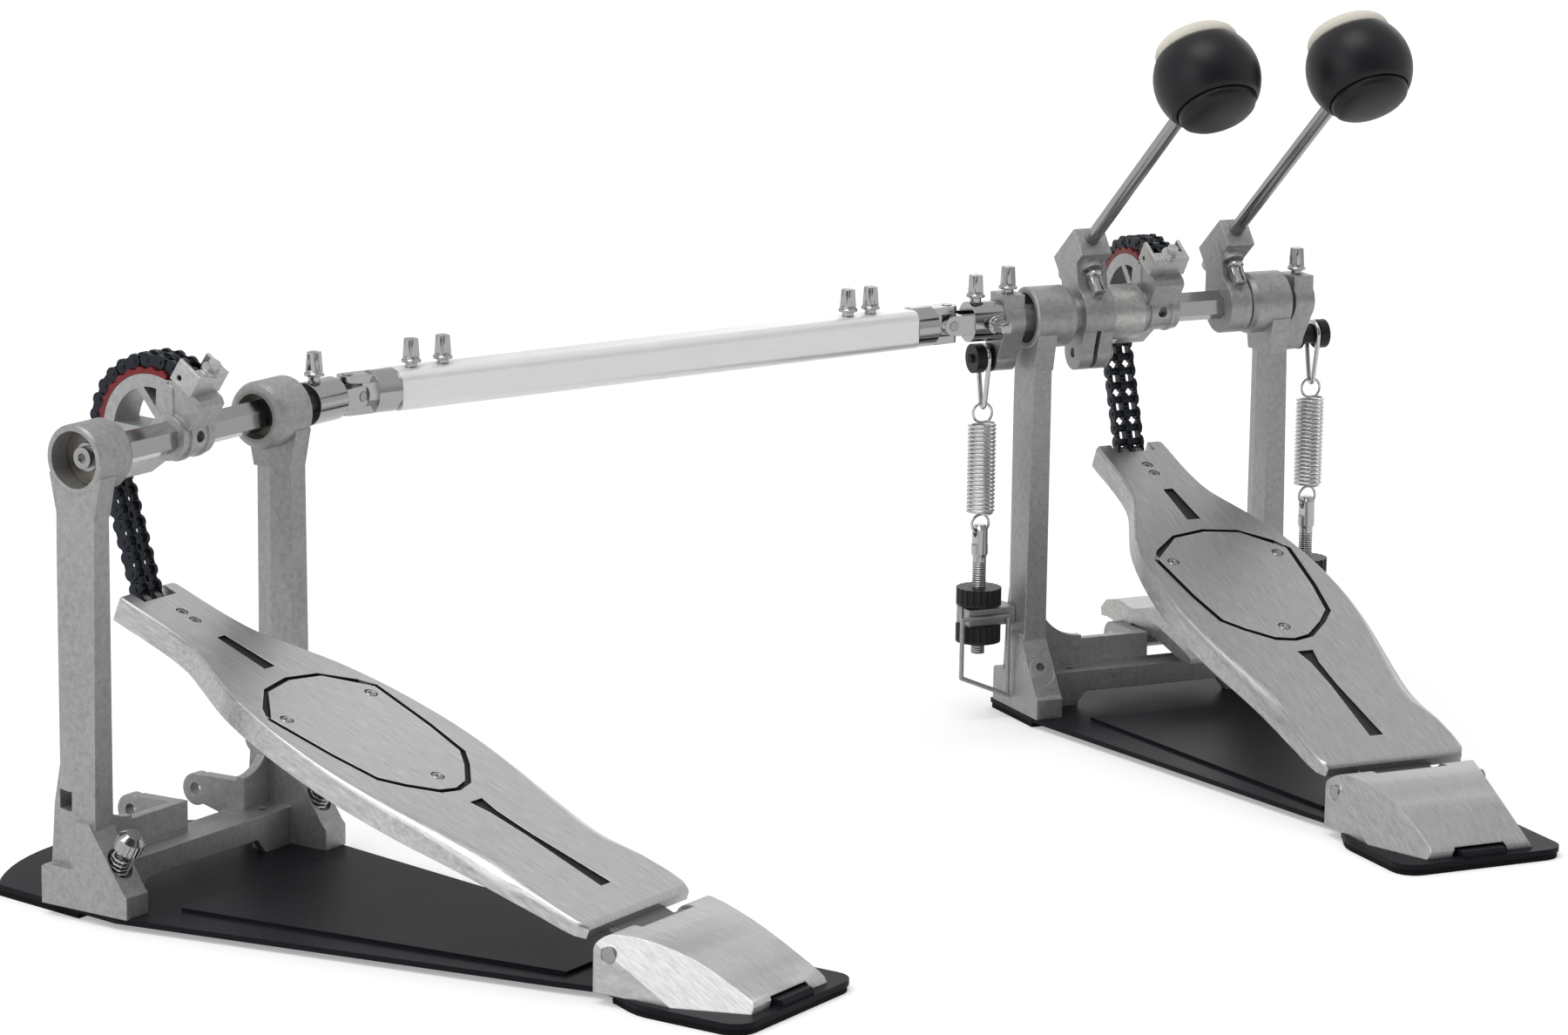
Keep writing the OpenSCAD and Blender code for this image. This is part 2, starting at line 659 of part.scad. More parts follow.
// Block under the toe that holds the end of the chain in two slotted tongues
module chain_anchor() {
  tongue_w = 2.9;
  tip_r = 4.2;
  slot_r = chain_pin_d / 2 + 0.35;
  low = min(chain_n - 4.5, -board_t - 3);
  color([0.30, 0.30, 0.31]) on_board() {
    difference() {
      translate([-7.5, anchor_end - anchor_len, -skirt_h - 1]) cube([15, anchor_len, skirt_h + 1 - board_t - 0.02]);
      for (y = toe_screws) translate([0, y, -far / 2]) cylinder(d = 3.4, h = far);
    }
    for (x = [-strand / 2, strand / 2]) along_x(x - tongue_w / 2, x + tongue_w / 2) difference() {
      union() {
        translate([chain_s + 0.6, chain_n - 0.3]) circle(r = tip_r);
        translate([anchor_end - 3.5, low]) square([chain_s + 4.1 - anchor_end, -low - board_t - 0.02]);
        if (chain_n > -board_t) translate([chain_s + 0.6 - tip_r, low]) square([2 * tip_r, chain_n - low]);
      }
      translate([chain_s, chain_n + 0.15]) rotate(-34.7) {
        translate([-0.9, -slot_r]) square([3.4, 2 * slot_r]);
        translate([-0.9, 0]) circle(r = slot_r);
        translate([2.5, 0]) circle(r = slot_r);
      }
    }
  }
}

// Bearings
module bearing(x0, bore) {
  on_axle() translate([x0, 0, 0]) turned_x() polygon([[bore / 2, 0], [bore / 2, bearing_w], [bore / 2 + 1.6, bearing_w],
    [bore / 2 + 1.6, bearing_w - 0.5], [bearing_d / 2 - 1.8, bearing_w - 0.5], [bearing_d / 2 - 1.8, bearing_w],
    [bearing_d / 2 - 0.02, bearing_w], [bearing_d / 2 - 0.02, 0], [bearing_d / 2 - 1.8, 0],
    [bearing_d / 2 - 1.8, 0.5], [bore / 2 + 1.6, 0.5], [bore / 2 + 1.6, 0]]);
}

module bearings() {
  color([0.45, 0.43, 0.40]) {
    bearing(-bearing_face, sleeve_d + 2 * run_gap);
    bearing(bearing_face - bearing_w, journal_d + 2 * run_gap);
    remote() {
      bearing(-bearing_face, journal_d + 2 * run_gap);
      bearing(bearing_face - bearing_w, journal_d + 2 * run_gap);
    }
  }
}

// Axles
module hex_bar(x0, x1) {
  translate([x0, 0, 0]) rotate([0, 90, 0]) cylinder(d = hex_d, h = x1 - x0, $fn = 6);
}

module end_screw(x, side) {
  washer_d = journal_d + 3;
  head_d = journal_d + 0.4;
  translate([x, 0, 0]) rotate([0, side * 90, 0]) {
    cylinder(d = washer_d, h = 0.8);
    difference() {
      cylinder(d = head_d, h = 3.6);
      translate([0, 0, 1.6]) cylinder(d = 4, h = 4, $fn = 6);
    }
  }
}

hub_left = -9.7;
module main_axle() {
  color([0.75, 0.75, 0.75]) on_axle() {
    hex_bar(hub_left + 0.2, hex_end);
    left_end = journal_end - 2;
    translate([-left_end, 0, 0]) rotate([0, 90, 0])
      cylinder(d = journal_d, h = left_end + rocker_x + rocker_w - 0.6);
  }
}

module remote_axle() {
  color([0.75, 0.75, 0.75]) on_axle() {
    hex_bar(-hex_end, hex_end);
    translate([-bearing_face - 0.2, 0, 0]) rotate([0, 90, 0])
      cylinder(d = journal_d, h = bearing_face + 0.2 + journal_end);
    end_screw(-bearing_face - 0.2, -1);
  }
}

// Cam, with its hub, rim, spokes and the arm that carries the chain clamp
module spoke(a, reach, w) {
  rotate(a) translate([0, -w / 2]) square([reach, w]);
}

module sector(a0, a1) {
  polygon([[0, 0], for (a = [a0:(a1 - a0) / 6:a1 + 0.1]) 80 * [cos(a), sin(a)]]);
}

clamp_under = 2.9;
clamp_end = 8.2;
rim_from = -38;
rim_to = 113;
module cam() {
  hub_right = 8.8;
  arm_half = 7;
  color([0.70, 0.70, 0.70]) on_axle() difference() {
    union() {
      along_x(-cam_w / 2, cam_w / 2) {
        translate([cam_shift, 0]) intersection() {
          difference() {
            circle(r = rim_r, $fn = 96);
            circle(r = rim_r - rim_t, $fn = 96);
          }
          sector(rim_from, rim_to);
        }
        intersection() {
          union() {
            spoke(2, 50, 3.4);
            spoke(50, 50, 3);
            spoke(88, 50, 4);
            spoke(-36, 50, 4.5);
          }
          translate([cam_shift, 0]) circle(r = rim_r - 1, $fn = 96);
        }
      }
      along_x(-arm_half, arm_half)
        polygon([[8, 6], [-8.5, 3], [-15, 12.5], [-14, 15], [-4, 22], [3, rim_r - 1.5], [7, 18]]);
      translate([hub_left, 0, 0]) rotate([0, 90, 0]) cylinder(d = hub_d, h = hub_right - hub_left);
      translate([-5.6, 0, 0]) rotate([0, 90, 0]) cylinder(d = hub_d + 1.6, h = 1.8);
      translate([4.4, 0, 0]) rotate([0, 90, 0]) cylinder(d = hub_d + 1.2, h = 1.4);
    }
    hex_hole = (hex_af + 0.04) / cos(30);
    translate([hub_left - 1, 0, 0]) rotate([0, 90, 0]) cylinder(d = hex_hole, h = 40, $fn = 6);
    rotate([90, 0, 0]) cylinder(d = 4.6, h = 40);
    clamp_cut();
  }
}

// Place of the chain clamp's block, used by the cam too
module clamp_place() {
  p = chain_pin(wrap_links);
  translate([0, p.x, p.y - axle_h]) rotate([123, 0, 0]) children();
}

module clamp_cut() {
  clamp_place() translate([-cam_w, -clamp_under - 0.05, -14]) cube([2 * cam_w, 14, 14 + clamp_end]);
}

module cam_strip() {
  ridge = 0.5;
  color([0.60, 0.08, 0.07]) on_axle() difference() {
    along_x(-cam_w / 2, cam_w / 2) translate([cam_shift, 0]) intersection() {
      difference() {
        circle(r = strip_r + ridge, $fn = 96);
        circle(r = rim_r, $fn = 96);
      }
      sector(rim_from + 2, rim_to - 3);
    }
    along_x(-cam_w, cam_w) translate([0, -axle_h]) for (i = [-1:wrap_links])
      translate(i < 0 ? [cam_shift, axle_h] + cam_r * [cos(i * wrap_step - run_tilt), sin(i * wrap_step - run_tilt)]
        : chain_pin(i)) circle(d = link_h + 0.9);
    clamp_cut();
  }
}

// Chrome clamp that holds the upper end of the chain: a forked block and its screw
module chain_clamp() {
  wall = 1.4;
  half = strand + link_t;
  base = 4.4;
  color([0.86, 0.86, 0.86]) on_axle() clamp_place() {
    difference() {
      translate([-half - wall, -clamp_under, -3.6]) cube([2 * (half + wall), 9.4, clamp_end + 3.6]);
      translate([-half, -10, -20]) cube([2 * half, 40, 20 + clamp_end - base]);
      rotate([0, 90, 0]) cylinder(d = chain_pin_d + 2 * run_gap, h = 40, center = true);
    }
    translate([0, 9.4 - clamp_under, clamp_end - base / 2]) rotate([-90, 0, 0]) {
      translate([0, 0, -slip]) cylinder(d = 8.4, h = 1.4);
      cylinder(d = 5.2, h = 4.6, $fn = 6);
    }
  }
}

// Chain: link i joins pin i to pin i + 1; even links are the outer ones and carry the pins
module link_plate(i, x0, x1) {
  a = chain_pin(i);
  b = chain_pin(i + 1);
  along_x(x0, x1) {
    translate(a) circle(d = link_h, $fn = 24);
    translate(b) circle(d = link_h, $fn = 24);
    translate(a) rotate(atan2(b.y - a.y, b.x - a.x)) translate([0, -link_h * 0.36]) square([pitch, link_h * 0.72]);
  }
}

module outer_link(i) {
  inner_edge = strand / 2 + roller_d / 2 + link_t + 0.15;
  link_plate(i, inner_edge, inner_edge + link_t);
  link_plate(i, -inner_edge - link_t, -inner_edge);
  link_plate(i, -0.7, 0.7);
  for (p = [chain_pin(i), chain_pin(i + 1)]) along_x(-inner_edge - link_t - 0.45, inner_edge + link_t + 0.45)
    translate(p) circle(d = chain_pin_d, $fn = 24);
}

module inner_link(i, bored_low, bored_high) {
  half = roller_d / 2;
  difference() {
    union() {
      for (side = [-1, 1]) {
        mid = side * strand / 2;
        link_plate(i, mid - half - link_t, mid - half);
        link_plate(i, mid + half, mid + half + link_t);
        for (p = [chain_pin(i), chain_pin(i + 1)]) along_x(mid - half - slip, mid + half + slip)
          translate(p) circle(d = roller_d, $fn = 24);
      }
    }
    if (bored_low) along_x(-20, 20) translate(chain_pin(i)) circle(d = chain_pin_d + 2 * run_gap, $fn = 24);
    if (bored_high) along_x(-20, 20) translate(chain_pin(i + 1)) circle(d = chain_pin_d + 2 * run_gap, $fn = 24);
  }
}

// A stretch of chain from pin first to pin last; its ends are bored where a pin turns in them
module chain(first, last) {
  color([0.13, 0.14, 0.16]) for (i = [first:last - 1]) {
    if (i % 2 == 0) outer_link(i);
    else inner_link(i, i == first, i == last - 1);
  }
}

// Beater parts, in the beater's frame: Z up the shaft, Y towards the drum when it strikes
module on_beater(x) {
  on_axle() translate([x, 0, 0]) rotate([beater_lean, 0, 0]) translate([0, beater_offset, 0]) children();
}

// Clamp round the axle with a head that holds the beater shaft
module beater_holder(x, bore, side, sides = 48) {
  head_low = -1;
  head_top = 22.5;
  head_out = 5.2;
  head_in = 8;
  head_half = side > 0 ? holder_w / 2 : 6.6;
  screw_x = side > 0 ? 0 : right_holder_end - 5 - x;
  ring_from = side > 0 ? x - holder_w / 2 : right_holder_end - right_holder_w;
  ring_to = side > 0 ? x + holder_w / 2 : right_holder_end;
  color([0.58, 0.58, 0.58]) difference() {
    union() {
      on_axle() along_x(ring_from, ring_to) {
        circle(r = boss_holder_r, $fn = 64);
        if (side > 0) {
          translate([0, -lobe_drop]) circle(r = 7.6);
          polygon([[-7.5, -lobe_drop], [7.5, -lobe_drop], [boss_holder_r, 0], [-boss_holder_r, 0]]);
        }
        rotate(beater_lean) polygon([[-3, 8], [8, -9], [beater_offset - head_in + 2, head_low + 1],
          [beater_offset - head_in, head_top - 7], [8, 11]]);
      }
      on_beater(x) {
        translate([-head_half, -head_in, head_low]) cube([2 * head_half, head_in + head_out, head_top - head_low]);
        translate([screw_x, -head_in - 3.5, 14.5]) rotate([-90, 0, 0]) cylinder(d = 10, h = 9);
      }
    }
    on_axle() rotate([0, 90, 0]) cylinder(d = bore, h = 300, center = true, $fn = sides);
    on_beater(x) {
      translate([0, 0, -30]) cylinder(d = beater_d + 0.1, h = 80);
      translate([screw_x, -head_in - 3.5, 14.5]) rotate([90, 0, 0]) key_hole();
    }
    if (side > 0) on_axle() {
      translate([x, -far / 2, -16]) cube([2.2, far, 20], center = true);
      translate([x - holder_w, 0, -lobe_drop]) rotate([0, 90, 0]) cylinder(d = 4.4, h = 2 * holder_w);
    }
  }
  color([0.85, 0.85, 0.85]) {
    on_beater(x) translate([screw_x, -head_in - 3.5, 14.5]) rotate([90, 0, 0]) key_screw();
    if (side > 0) on_axle() translate([x + side * (holder_w / 2), 0, -lobe_drop]) rotate([0, side * 90, 0]) difference() {
      union() {
        translate([0, 0, 0.05]) cylinder(d = 9, h = 3.2);
        translate([0, 0, -holder_w + 1]) cylinder(d = 4.2, h = holder_w);
      }
      translate([0, 0, 1.4]) cylinder(d = 4.6, h = 4, $fn = 6);
    }
  }
}

module beater_shaft(x) {
  color([0.72, 0.72, 0.72]) on_beater(x) translate([0, 0, -beater_tail]) difference() {
    cylinder(d = beater_d, h = ball_reach + beater_tail - 3);
    translate([0, 0, -slip]) cylinder(d = 2, h = 1);
  }
}

flat_at = 15.5;
module beater_head(x) {
  color([0.07, 0.07, 0.08]) on_beater(x) translate([0, 0, ball_reach]) difference() {
    union() {
      intersection() {
        sphere(d = ball_d, $fn = 96);
        cube([far, 2 * flat_at, far], center = true);
      }
      rotate([90, 0, 0]) translate([0, 0, flat_at - slip]) cylinder(d1 = felt_d - 1, d2 = felt_d - 5, h = 4);
      translate([0, 0, -ball_d / 2 - 2]) cylinder(d = 11, h = 8);
    }
    translate([0, 0, -ball_d]) cylinder(d = beater_d + 0.04, h = ball_d - 2.9);
  }
}

module beater_felt(x) {
  color([0.92, 0.89, 0.80]) on_beater(x) translate([0, flat_at + 0.02, ball_reach]) rotate([-90, 0, 0]) {
    cylinder(d = felt_d, h = felt_t - 2);
    translate([0, 0, felt_t - 2 - slip]) cylinder(d1 = felt_d, d2 = felt_d - 5, h = 2);
  }
}

// Rocker on each side that stretches the spring, with its key screw
module rocker(side, bore) {
  x_in = side > 0 ? rocker_x : -rocker_x - rocker_w;
  mid = x_in + rocker_w / 2;
  color([0.66, 0.66, 0.66]) on_axle() difference() {
    along_x(x_in, x_in + rocker_w) {
      circle(r = 9);
      translate([-7, 0]) square([14, 11.5]);
      polygon([[-8.6, -2.6], [8.8, -1.6], [spring_y + 6, -stud_drop], [spring_y - 6, -stud_drop]]);
      translate([spring_y, -stud_drop]) circle(r = 6);
    }
    rotate([0, 90, 0]) cylinder(d = bore, h = 300, center = true);
    translate([mid, 0, 11.5]) key_hole_short(11.5 - bore / 2);
    translate([0, spring_y, -stud_drop]) rotate([0, 90, 0]) cylinder(d = 4, h = 300, center = true);
  }
  color([0.86, 0.86, 0.86]) on_axle() translate([mid, 0, 11.5]) key_screw(min(key_seat, 11.5 - bore / 2) - 0.1);
}

module key_hole_short(depth) {
  translate([0, 0, -min(key_seat, depth)]) cylinder(d = key_stem_d + 0.2, h = far / 10);
}

// Black roller on its slotted stud, outside the rocker
module roller(side) {
  x0 = rocker_x + rocker_w;
  reach = spring_at(side) - x0 + link_wire / 2 + 0.2;
  mirror([side > 0 ? 0 : 1, 0, 0]) on_axle() translate([x0, spring_y, -stud_drop]) rotate([0, 90, 0]) {
    color([0.08, 0.08, 0.08]) {
      translate([0, 0, 0.05]) cylinder(d = 12.4, h = 0.9);
      cylinder(r = link_top_r - link_wire / 2 - 0.1, h = reach + 0.1);
      translate([0, 0, reach]) cylinder(d = 12.8, h = 4.4);
    }
    color([0.80, 0.80, 0.80]) difference() {
      translate([0, 0, 1 - rocker_w]) cylinder(d = 3.9, h = rocker_w + reach + 4.6);
      translate([-5, -0.5, reach + 4]) cube([10, 1, 4]);
    }
  }
}

// Wire link: a closed loop round the roller, narrow at the spring's ring
module wire_link(side) {
  tilt = asin((link_top_r - link_low_r) / link_drop);
  leg = sqrt(pow(link_drop, 2) - pow(link_top_r - link_low_r, 2));
  color([0.82, 0.82, 0.82]) translate([side * spring_at(side), spring_y, stud_z]) rotate([90, 0, 90]) {
    rotate([0, 0, -tilt]) rotate_extrude(angle = 180 + 2 * tilt) translate([link_top_r, 0]) circle(d = link_wire);
    translate([0, -link_drop, 0]) rotate([0, 0, 180 + tilt]) rotate_extrude(angle = 180 - 2 * tilt)
      translate([link_low_r, 0]) circle(d = link_wire, $fn = 24);
    for (s = [0, 1]) mirror([s, 0, 0]) rotate([0, 0, -tilt]) translate([link_top_r, 5 * slip, 0])
      rotate([90, 0, 0]) cylinder(d = link_wire + 4 * slip, h = leg + 10 * slip);
  }
}

// Springs as one tube along a computed path
function unit(v) = v / norm(v);

// Frames carried along the path, so that the tube doesn't twist
function carried(path) = [for (i = 0, n = unit(cross(path[1] - path[0], [0.31, 0.47, 0.83])); i < len(path);
    i = i + 1,
    n = i < len(path) ? let (t = unit(path[min(i + 1, len(path) - 1)] - path[max(i - 1, 0)])) unit(n - (n * t) * t) : n)
  [path[i], unit(path[min(i + 1, len(path) - 1)] - path[max(i - 1, 0)]), n]];

module tube_along(path, d, sides = 6) {
  frames = carried(path);
  last = len(frames) - 1;
  points = [for (f = frames) let (n = unit(f[2] - (f[2] * f[1]) * f[1]), b = cross(f[1], n))
    for (k = [0:sides - 1]) f[0] + d / 2 * (cos(360 * k / sides) * n + sin(360 * k / sides) * b)];
  sidesq = [for (i = [0:last - 1], k = [0:sides - 1]) let (
      a = i * sides + k, b = i * sides + (k + 1) % sides, c = a + sides, e = b + sides)
    each [[a, b, c], [b, e, c]]];
  cap0 = [for (k = [1:sides - 2]) [0, k + 1, k]];
  cap1 = [for (k = [1:sides - 2]) [last * sides, last * sides + k, last * sides + k + 1]];
  polyhedron(points, concat(cap0, [for (q = sidesq) [q[0], q[1], q[2]]], cap1));
}

ring_steps = 24;
// A hook ring in the X-Z plane above the coil's end at the height z, in the given direction
function hook(z, up) = [
  for (t = [0.25, 0.5, 0.75]) [coil_r * (1 - t) * cos(70 * t), coil_r * 0.62 * sin(180 * t) * (1 - t * 0.3), z + up * 0.35 * t],
  for (a = [0:360 / ring_steps:325])
    [-ring_r * sin(a), 0.9 - 1.8 * a / 360, z + up * (ring_r * (1 - cos(a)) + hook_rise)],
  [ring_r * sin(28) + 0.3, -0.85, z + up * (ring_r * (1 - cos(28)) - 0.45)]];

function spring_path() = concat(
  reversed(hook(coil_top_z, 1)),
  [for (i = [0:8 * coil_turns]) [coil_r * cos(45 * i), -coil_r * sin(45 * i), coil_top_z - coil_pitch * i / 8]],
  [for (p = hook(coil_low_z, -1)) [p.x, -p.y, p.z]]);

function least_gap(path, skip) = min([for (i = [0:len(path) - 1 - skip], j = [i + skip:len(path) - 1]) norm(path[i] - path[j])]);

echo(spring_gap = least_gap(spring_path(), 6) - coil_wire);

module spring(side) {
  color([0.80, 0.80, 0.80]) translate([side * spring_at(side), spring_y, 0]) tube_along(spring_path(), coil_wire);
}

// Tension rod with a slotted eye, its lug on the post and two knurled nuts
module eye_bolt(side) {
  eye_z = ring_low_z + 0.4;
  top = eye_z + 3.6;
  thick = min(13, top - upper_nut_z - nut_h - 2);
  color([0.74, 0.74, 0.74]) translate([side * spring_at(side), spring_y, 0]) difference() {
    union() {
      translate([0, 0, lug_z - 17]) cylinder(d = rod_d, h = top - thick - 1 - lug_z + 17);
      translate([0, 0, top - thick - 1.5]) cylinder(d1 = rod_d, d2 = 7.4, h = 1.5);
      translate([0, 0, top - thick]) cylinder(d = 7.4, h = thick - 2);
      translate([0, 0, top - 2]) cylinder(d1 = 7.4, d2 = 4.6, h = 2);
    }
    translate([0, 0, eye_z]) rotate([0, 90, 0]) cylinder(d = 4, h = 20, center = true);
    for (s = [0, 1]) mirror([s, 0, 0]) translate([2.4, -10, top - 9]) cube([10, 20, 20]);
  }
}

module spring_lug(side) {
  spring_x = spring_at(side);
  lug_from = post_out + post_flare * (axle_h - lug_z + lug_h / 2) / (axle_h - plate_z) + 0.05;
  x_end = spring_x + 7.6;
  half = 6;
  color([0.70, 0.70, 0.70]) mirror([side > 0 ? 0 : 1, 0, 0]) {
    difference() {
      union() {
        translate([lug_from, spring_y - half, lug_z - lug_h / 2]) cube([x_end - lug_from, 2 * half, lug_h]);
        translate([post_in + 1.6, spring_y - lug_h / 2 + 0.1, lug_z - lug_h / 2 + 0.1])
          cube([lug_from - post_in - 1.5, lug_h - 0.2, lug_h - 0.2]);
      }
      translate([spring_x, spring_y, 0]) cylinder(d = rod_d + 0.4, h = 200);
      translate([x_end - 5, spring_y - 1, 0]) cube([20, 2, 200]);
    }
    retainer(spring_x);
  }
}

// Bent wire on the lug that reaches down past the lower nut to the foot
module retainer(spring_x) {
  wire = 2;
  reach = nut_d / 2 + wire / 2 + 0.4;
  seat = foot_face + wire / 2 + 0.1;
  y = spring_y - 6 - wire / 2 - 0.1;
  for (x = [spring_x - reach, spring_x + reach]) {
    low = x > spring_x ? 20 : 12;
    translate([x, y, low]) cylinder(d = wire, h = lug_z - low);
    translate([x, y, low]) sphere(d = wire, $fn = 24);
    translate([x, y, lug_z]) sphere(d = wire, $fn = 24);
    wire_to([x, y, low], [seat, y, low - (x - seat) * 0.42], wire);
  }
  translate([spring_x - reach, y, lug_z]) rotate([0, 90, 0]) cylinder(d = wire, h = 2 * reach);
}

module wire_to(a, b, d) {
  v = b - a;
  translate(a) rotate([0, acos(v.z / norm(v)), atan2(v.y, v.x)]) cylinder(d = d, h = norm(v));
}

module knurled_nut(z) {
  ribs = 20;
  translate([0, 0, z]) difference() {
    cylinder(d = nut_d, h = nut_h);
    translate([0, 0, -1]) cylinder(d = rod_d + 0.04, h = nut_h + 2);
    for (i = [0:ribs - 1]) rotate(i * 360 / ribs) translate([nut_d / 2 + 0.2, 0, 1.2]) cylinder(d = 1.6, h = nut_h, $fn = 16);
  }
}

module spring_nuts() {
  for (side = [-1, 1]) translate([side * spring_at(side), spring_y, 0]) {
    color([0.07, 0.07, 0.07]) {
      knurled_nut(upper_nut_z);
      knurled_nut(lug_z - lug_h / 2 - nut_h - 0.1);
    }
    color([0.8, 0.8, 0.8]) translate([0, 0, lug_z + lug_h / 2 + 0.1]) difference() {
      cylinder(d = 11, h = washer_t);
      translate([0, 0, -1]) cylinder(d = rod_d + 0.1, h = 4);
    }
  }
}

// Universal joints and the square drive tube
module fork(from, collar, dir) {
  // Cheeks stand on the collar and reach past the joint's centre at the origin, across Y
  for (s = [0, 1]) mirror([0, s, 0]) translate([0, cheek_in, 0]) difference() {
    rotate([-90, 0, 0]) linear_extrude(cheek_t) {
      circle(r = cheek_half);
      translate([dir > 0 ? 0 : -from, -cheek_half]) square([from, 2 * cheek_half]);
    }
  }
  translate([dir * (from + collar / 2), 0, 0]) rotate([0, 90, 0]) cylinder(d = collar_d, h = collar, center = true);
}

module fork_holes(gap) {
  rotate([90, 0, 0]) cylinder(d = joint_pin_d + 2 * gap, h = 40, center = true);
}

module spider() {
  block = 2 * cheek_in - 2 * face_gap;
  color([0.74, 0.74, 0.74]) {
    cube(block, center = true);
    rotate([90, 0, 0]) cylinder(d = joint_pin_d, h = 2 * (cheek_in + cheek_t) + 0.6, center = true);
    cylinder(d = joint_pin_d, h = 2 * (cheek_in + cheek_t) + 0.6, center = true);
  }
}

module remote_yoke() {
  collar = 17.5;
  color([0.80, 0.80, 0.80]) remote() on_axle() translate([pivot_at, 0, 0]) {
    difference() {
      fork(neck, collar, -1);
      fork_holes(run_gap);
      translate([-neck - collar - 1, 0, 0]) rotate([0, 90, 0]) cylinder(d = journal_d + 0.04, h = collar + 1.5 - yoke_floor);
      translate([-neck - 11, 0, collar_d / 2]) key_hole();
    }
    translate([-neck - 11, 0, collar_d / 2]) key_screw();
  }
}

module left_yoke() {
  collar = pivot_at - neck - rocker_x - rocker_w - 0.2;
  color([0.80, 0.80, 0.80]) on_axle() translate([-pivot_at, 0, 0]) {
    difference() {
      fork(neck, collar, 1);
      fork_holes(run_gap);
      translate([neck + yoke_floor, 0, 0]) rotate([0, 90, 0]) cylinder(d = sleeve_d + 0.04, h = collar + 1);
      translate([neck + 4, 0, collar_d / 2]) key_hole_short(2.6);
      translate([neck + 9, -collar_d / 2, 0]) rotate([90, 0, 0]) key_hole_short(2.6);
    }
    translate([neck + 4, 0, collar_d / 2]) key_screw(2.5);
    translate([neck + 9, -collar_d / 2, 0]) rotate([90, 0, 0]) key_screw(2.5);
  }
}

module on_shaft() {
  translate([shaft_from.x, shaft_from.y, axle_h]) rotate(shaft_yaw) children();
}

module rounded_square(w, r) {
  for (a = [0, 1]) rotate(90 * a) square([w, w - 2 * r], center = true);
  for (i = [-1, 1], j = [-1, 1]) translate([i * (w / 2 - r), j * (w / 2 - r)]) circle(r = r);
}

tube_screws = [30, 45];
tube_screws_far = [41, 53];
module drive_tube() {
  color([0.88, 0.88, 0.88]) on_shaft() difference() {
    along_x(tube_start, shaft_len - tube_start) rounded_square(tube_w, 4);
    rotate([0, 90, 0]) cylinder(d = tube_bore, h = shaft_len);
    for (x = concat(tube_screws, [for (q = tube_screws_far) shaft_len - q])) translate([x, 0, 0])
      cylinder(d = key_stem_d + 0.2, h = 40);
  }
}

module tube_yokes() {
  collar = tube_start - neck - 0.05;
  stub = 42;
  module yoke(screws) {
    difference() {
      rotate([90, 0, 0]) fork(neck, collar, 1);
      cylinder(d = joint_pin_d + 0.6, h = 40, center = true);
    }
    translate([tube_start - 1, 0, 0]) rotate([0, 90, 0]) difference() {
      cylinder(d = tube_bore - 0.06, h = stub);
      for (x = screws) translate([-tube_bore / 2 + 1.4, 0, x - tube_start + 1]) rotate([0, -90, 0]) cylinder(d = key_stem_d + 0.4, h = 9);
    }
    for (x = screws) translate([x, 0, tube_w / 2]) key_screw(tube_w / 2 - tube_bore / 2 + 1.2);
  }
  color([0.80, 0.80, 0.80]) on_shaft() {
    yoke(tube_screws);
    translate([shaft_len, 0, 0]) mirror([1, 0, 0]) yoke(tube_screws_far);
  }
}

// Sleeve that turns on the main axle and carries the left beater
module left_sleeve() {
  seat_from = boss_in_left - 0.4;
  seat_to = -left_beater_x - holder_w / 2 - 0.1;
  color([0.68, 0.68, 0.68]) on_axle() difference() {
    rotate([0, -90, 0]) {
      translate([0, 0, -hub_left + 0.2]) cylinder(d = sleeve_big_d, h = seat_to + hub_left - 0.2);
      translate([0, 0, seat_to - 1]) cylinder(d = sleeve_seat_d, h = seat_from - seat_to + 1);
      translate([0, 0, seat_from - 1]) cylinder(d = sleeve_d, h = journal_end - seat_from + 1);
    }
    rotate([0, -90, 0]) cylinder(d = journal_d + 2 * run_gap, h = far);
  }
}

// Spurs of the remote pedal with their knurled knobs and springs
module on_spur(side) {
  remote() translate([side * spur_x, spur_y, spur_z]) rotate([spur_lean, 0, 0]) children();
}

module spur(side) {
  tip = 19.5;
  color([0.82, 0.82, 0.82]) on_spur(side) {
    translate([0, 0, -tip]) cylinder(d1 = 1.6, d2 = spur_d, h = 5);
    translate([0, 0, -tip + 5 - slip]) cylinder(d = spur_d, h = tip + 7);
    translate([0, 0, 10.6]) cylinder(d1 = 7, d2 = 10.8, h = 2.4);
    difference() {
      translate([0, 0, 13 - slip]) cylinder(d = 10.8, h = 5);
      for (i = [0:15]) rotate(i * 22.5) translate([5.6, 0, 0]) cylinder(d = 1.2, h = 40, $fn = 16);
    }
    translate([0, 0, 18 - 2 * slip]) cylinder(d1 = 10.4, d2 = 6, h = 2.4);
  }
}

spur_coil_r = 4.1;
spur_turns = 4;
spur_wire = 1;
spur_pitch = 1.9;
module spur_spring(side) {
  color([0.80, 0.80, 0.80]) on_spur(side) translate([0, 0, spur_seat + spur_wire / 2 + 0.05]) tube_along([
    for (i = [0:8 * spur_turns]) [spur_coil_r * cos(45 * i), spur_coil_r * sin(45 * i), spur_pitch * i / 8]], spur_wire);
}

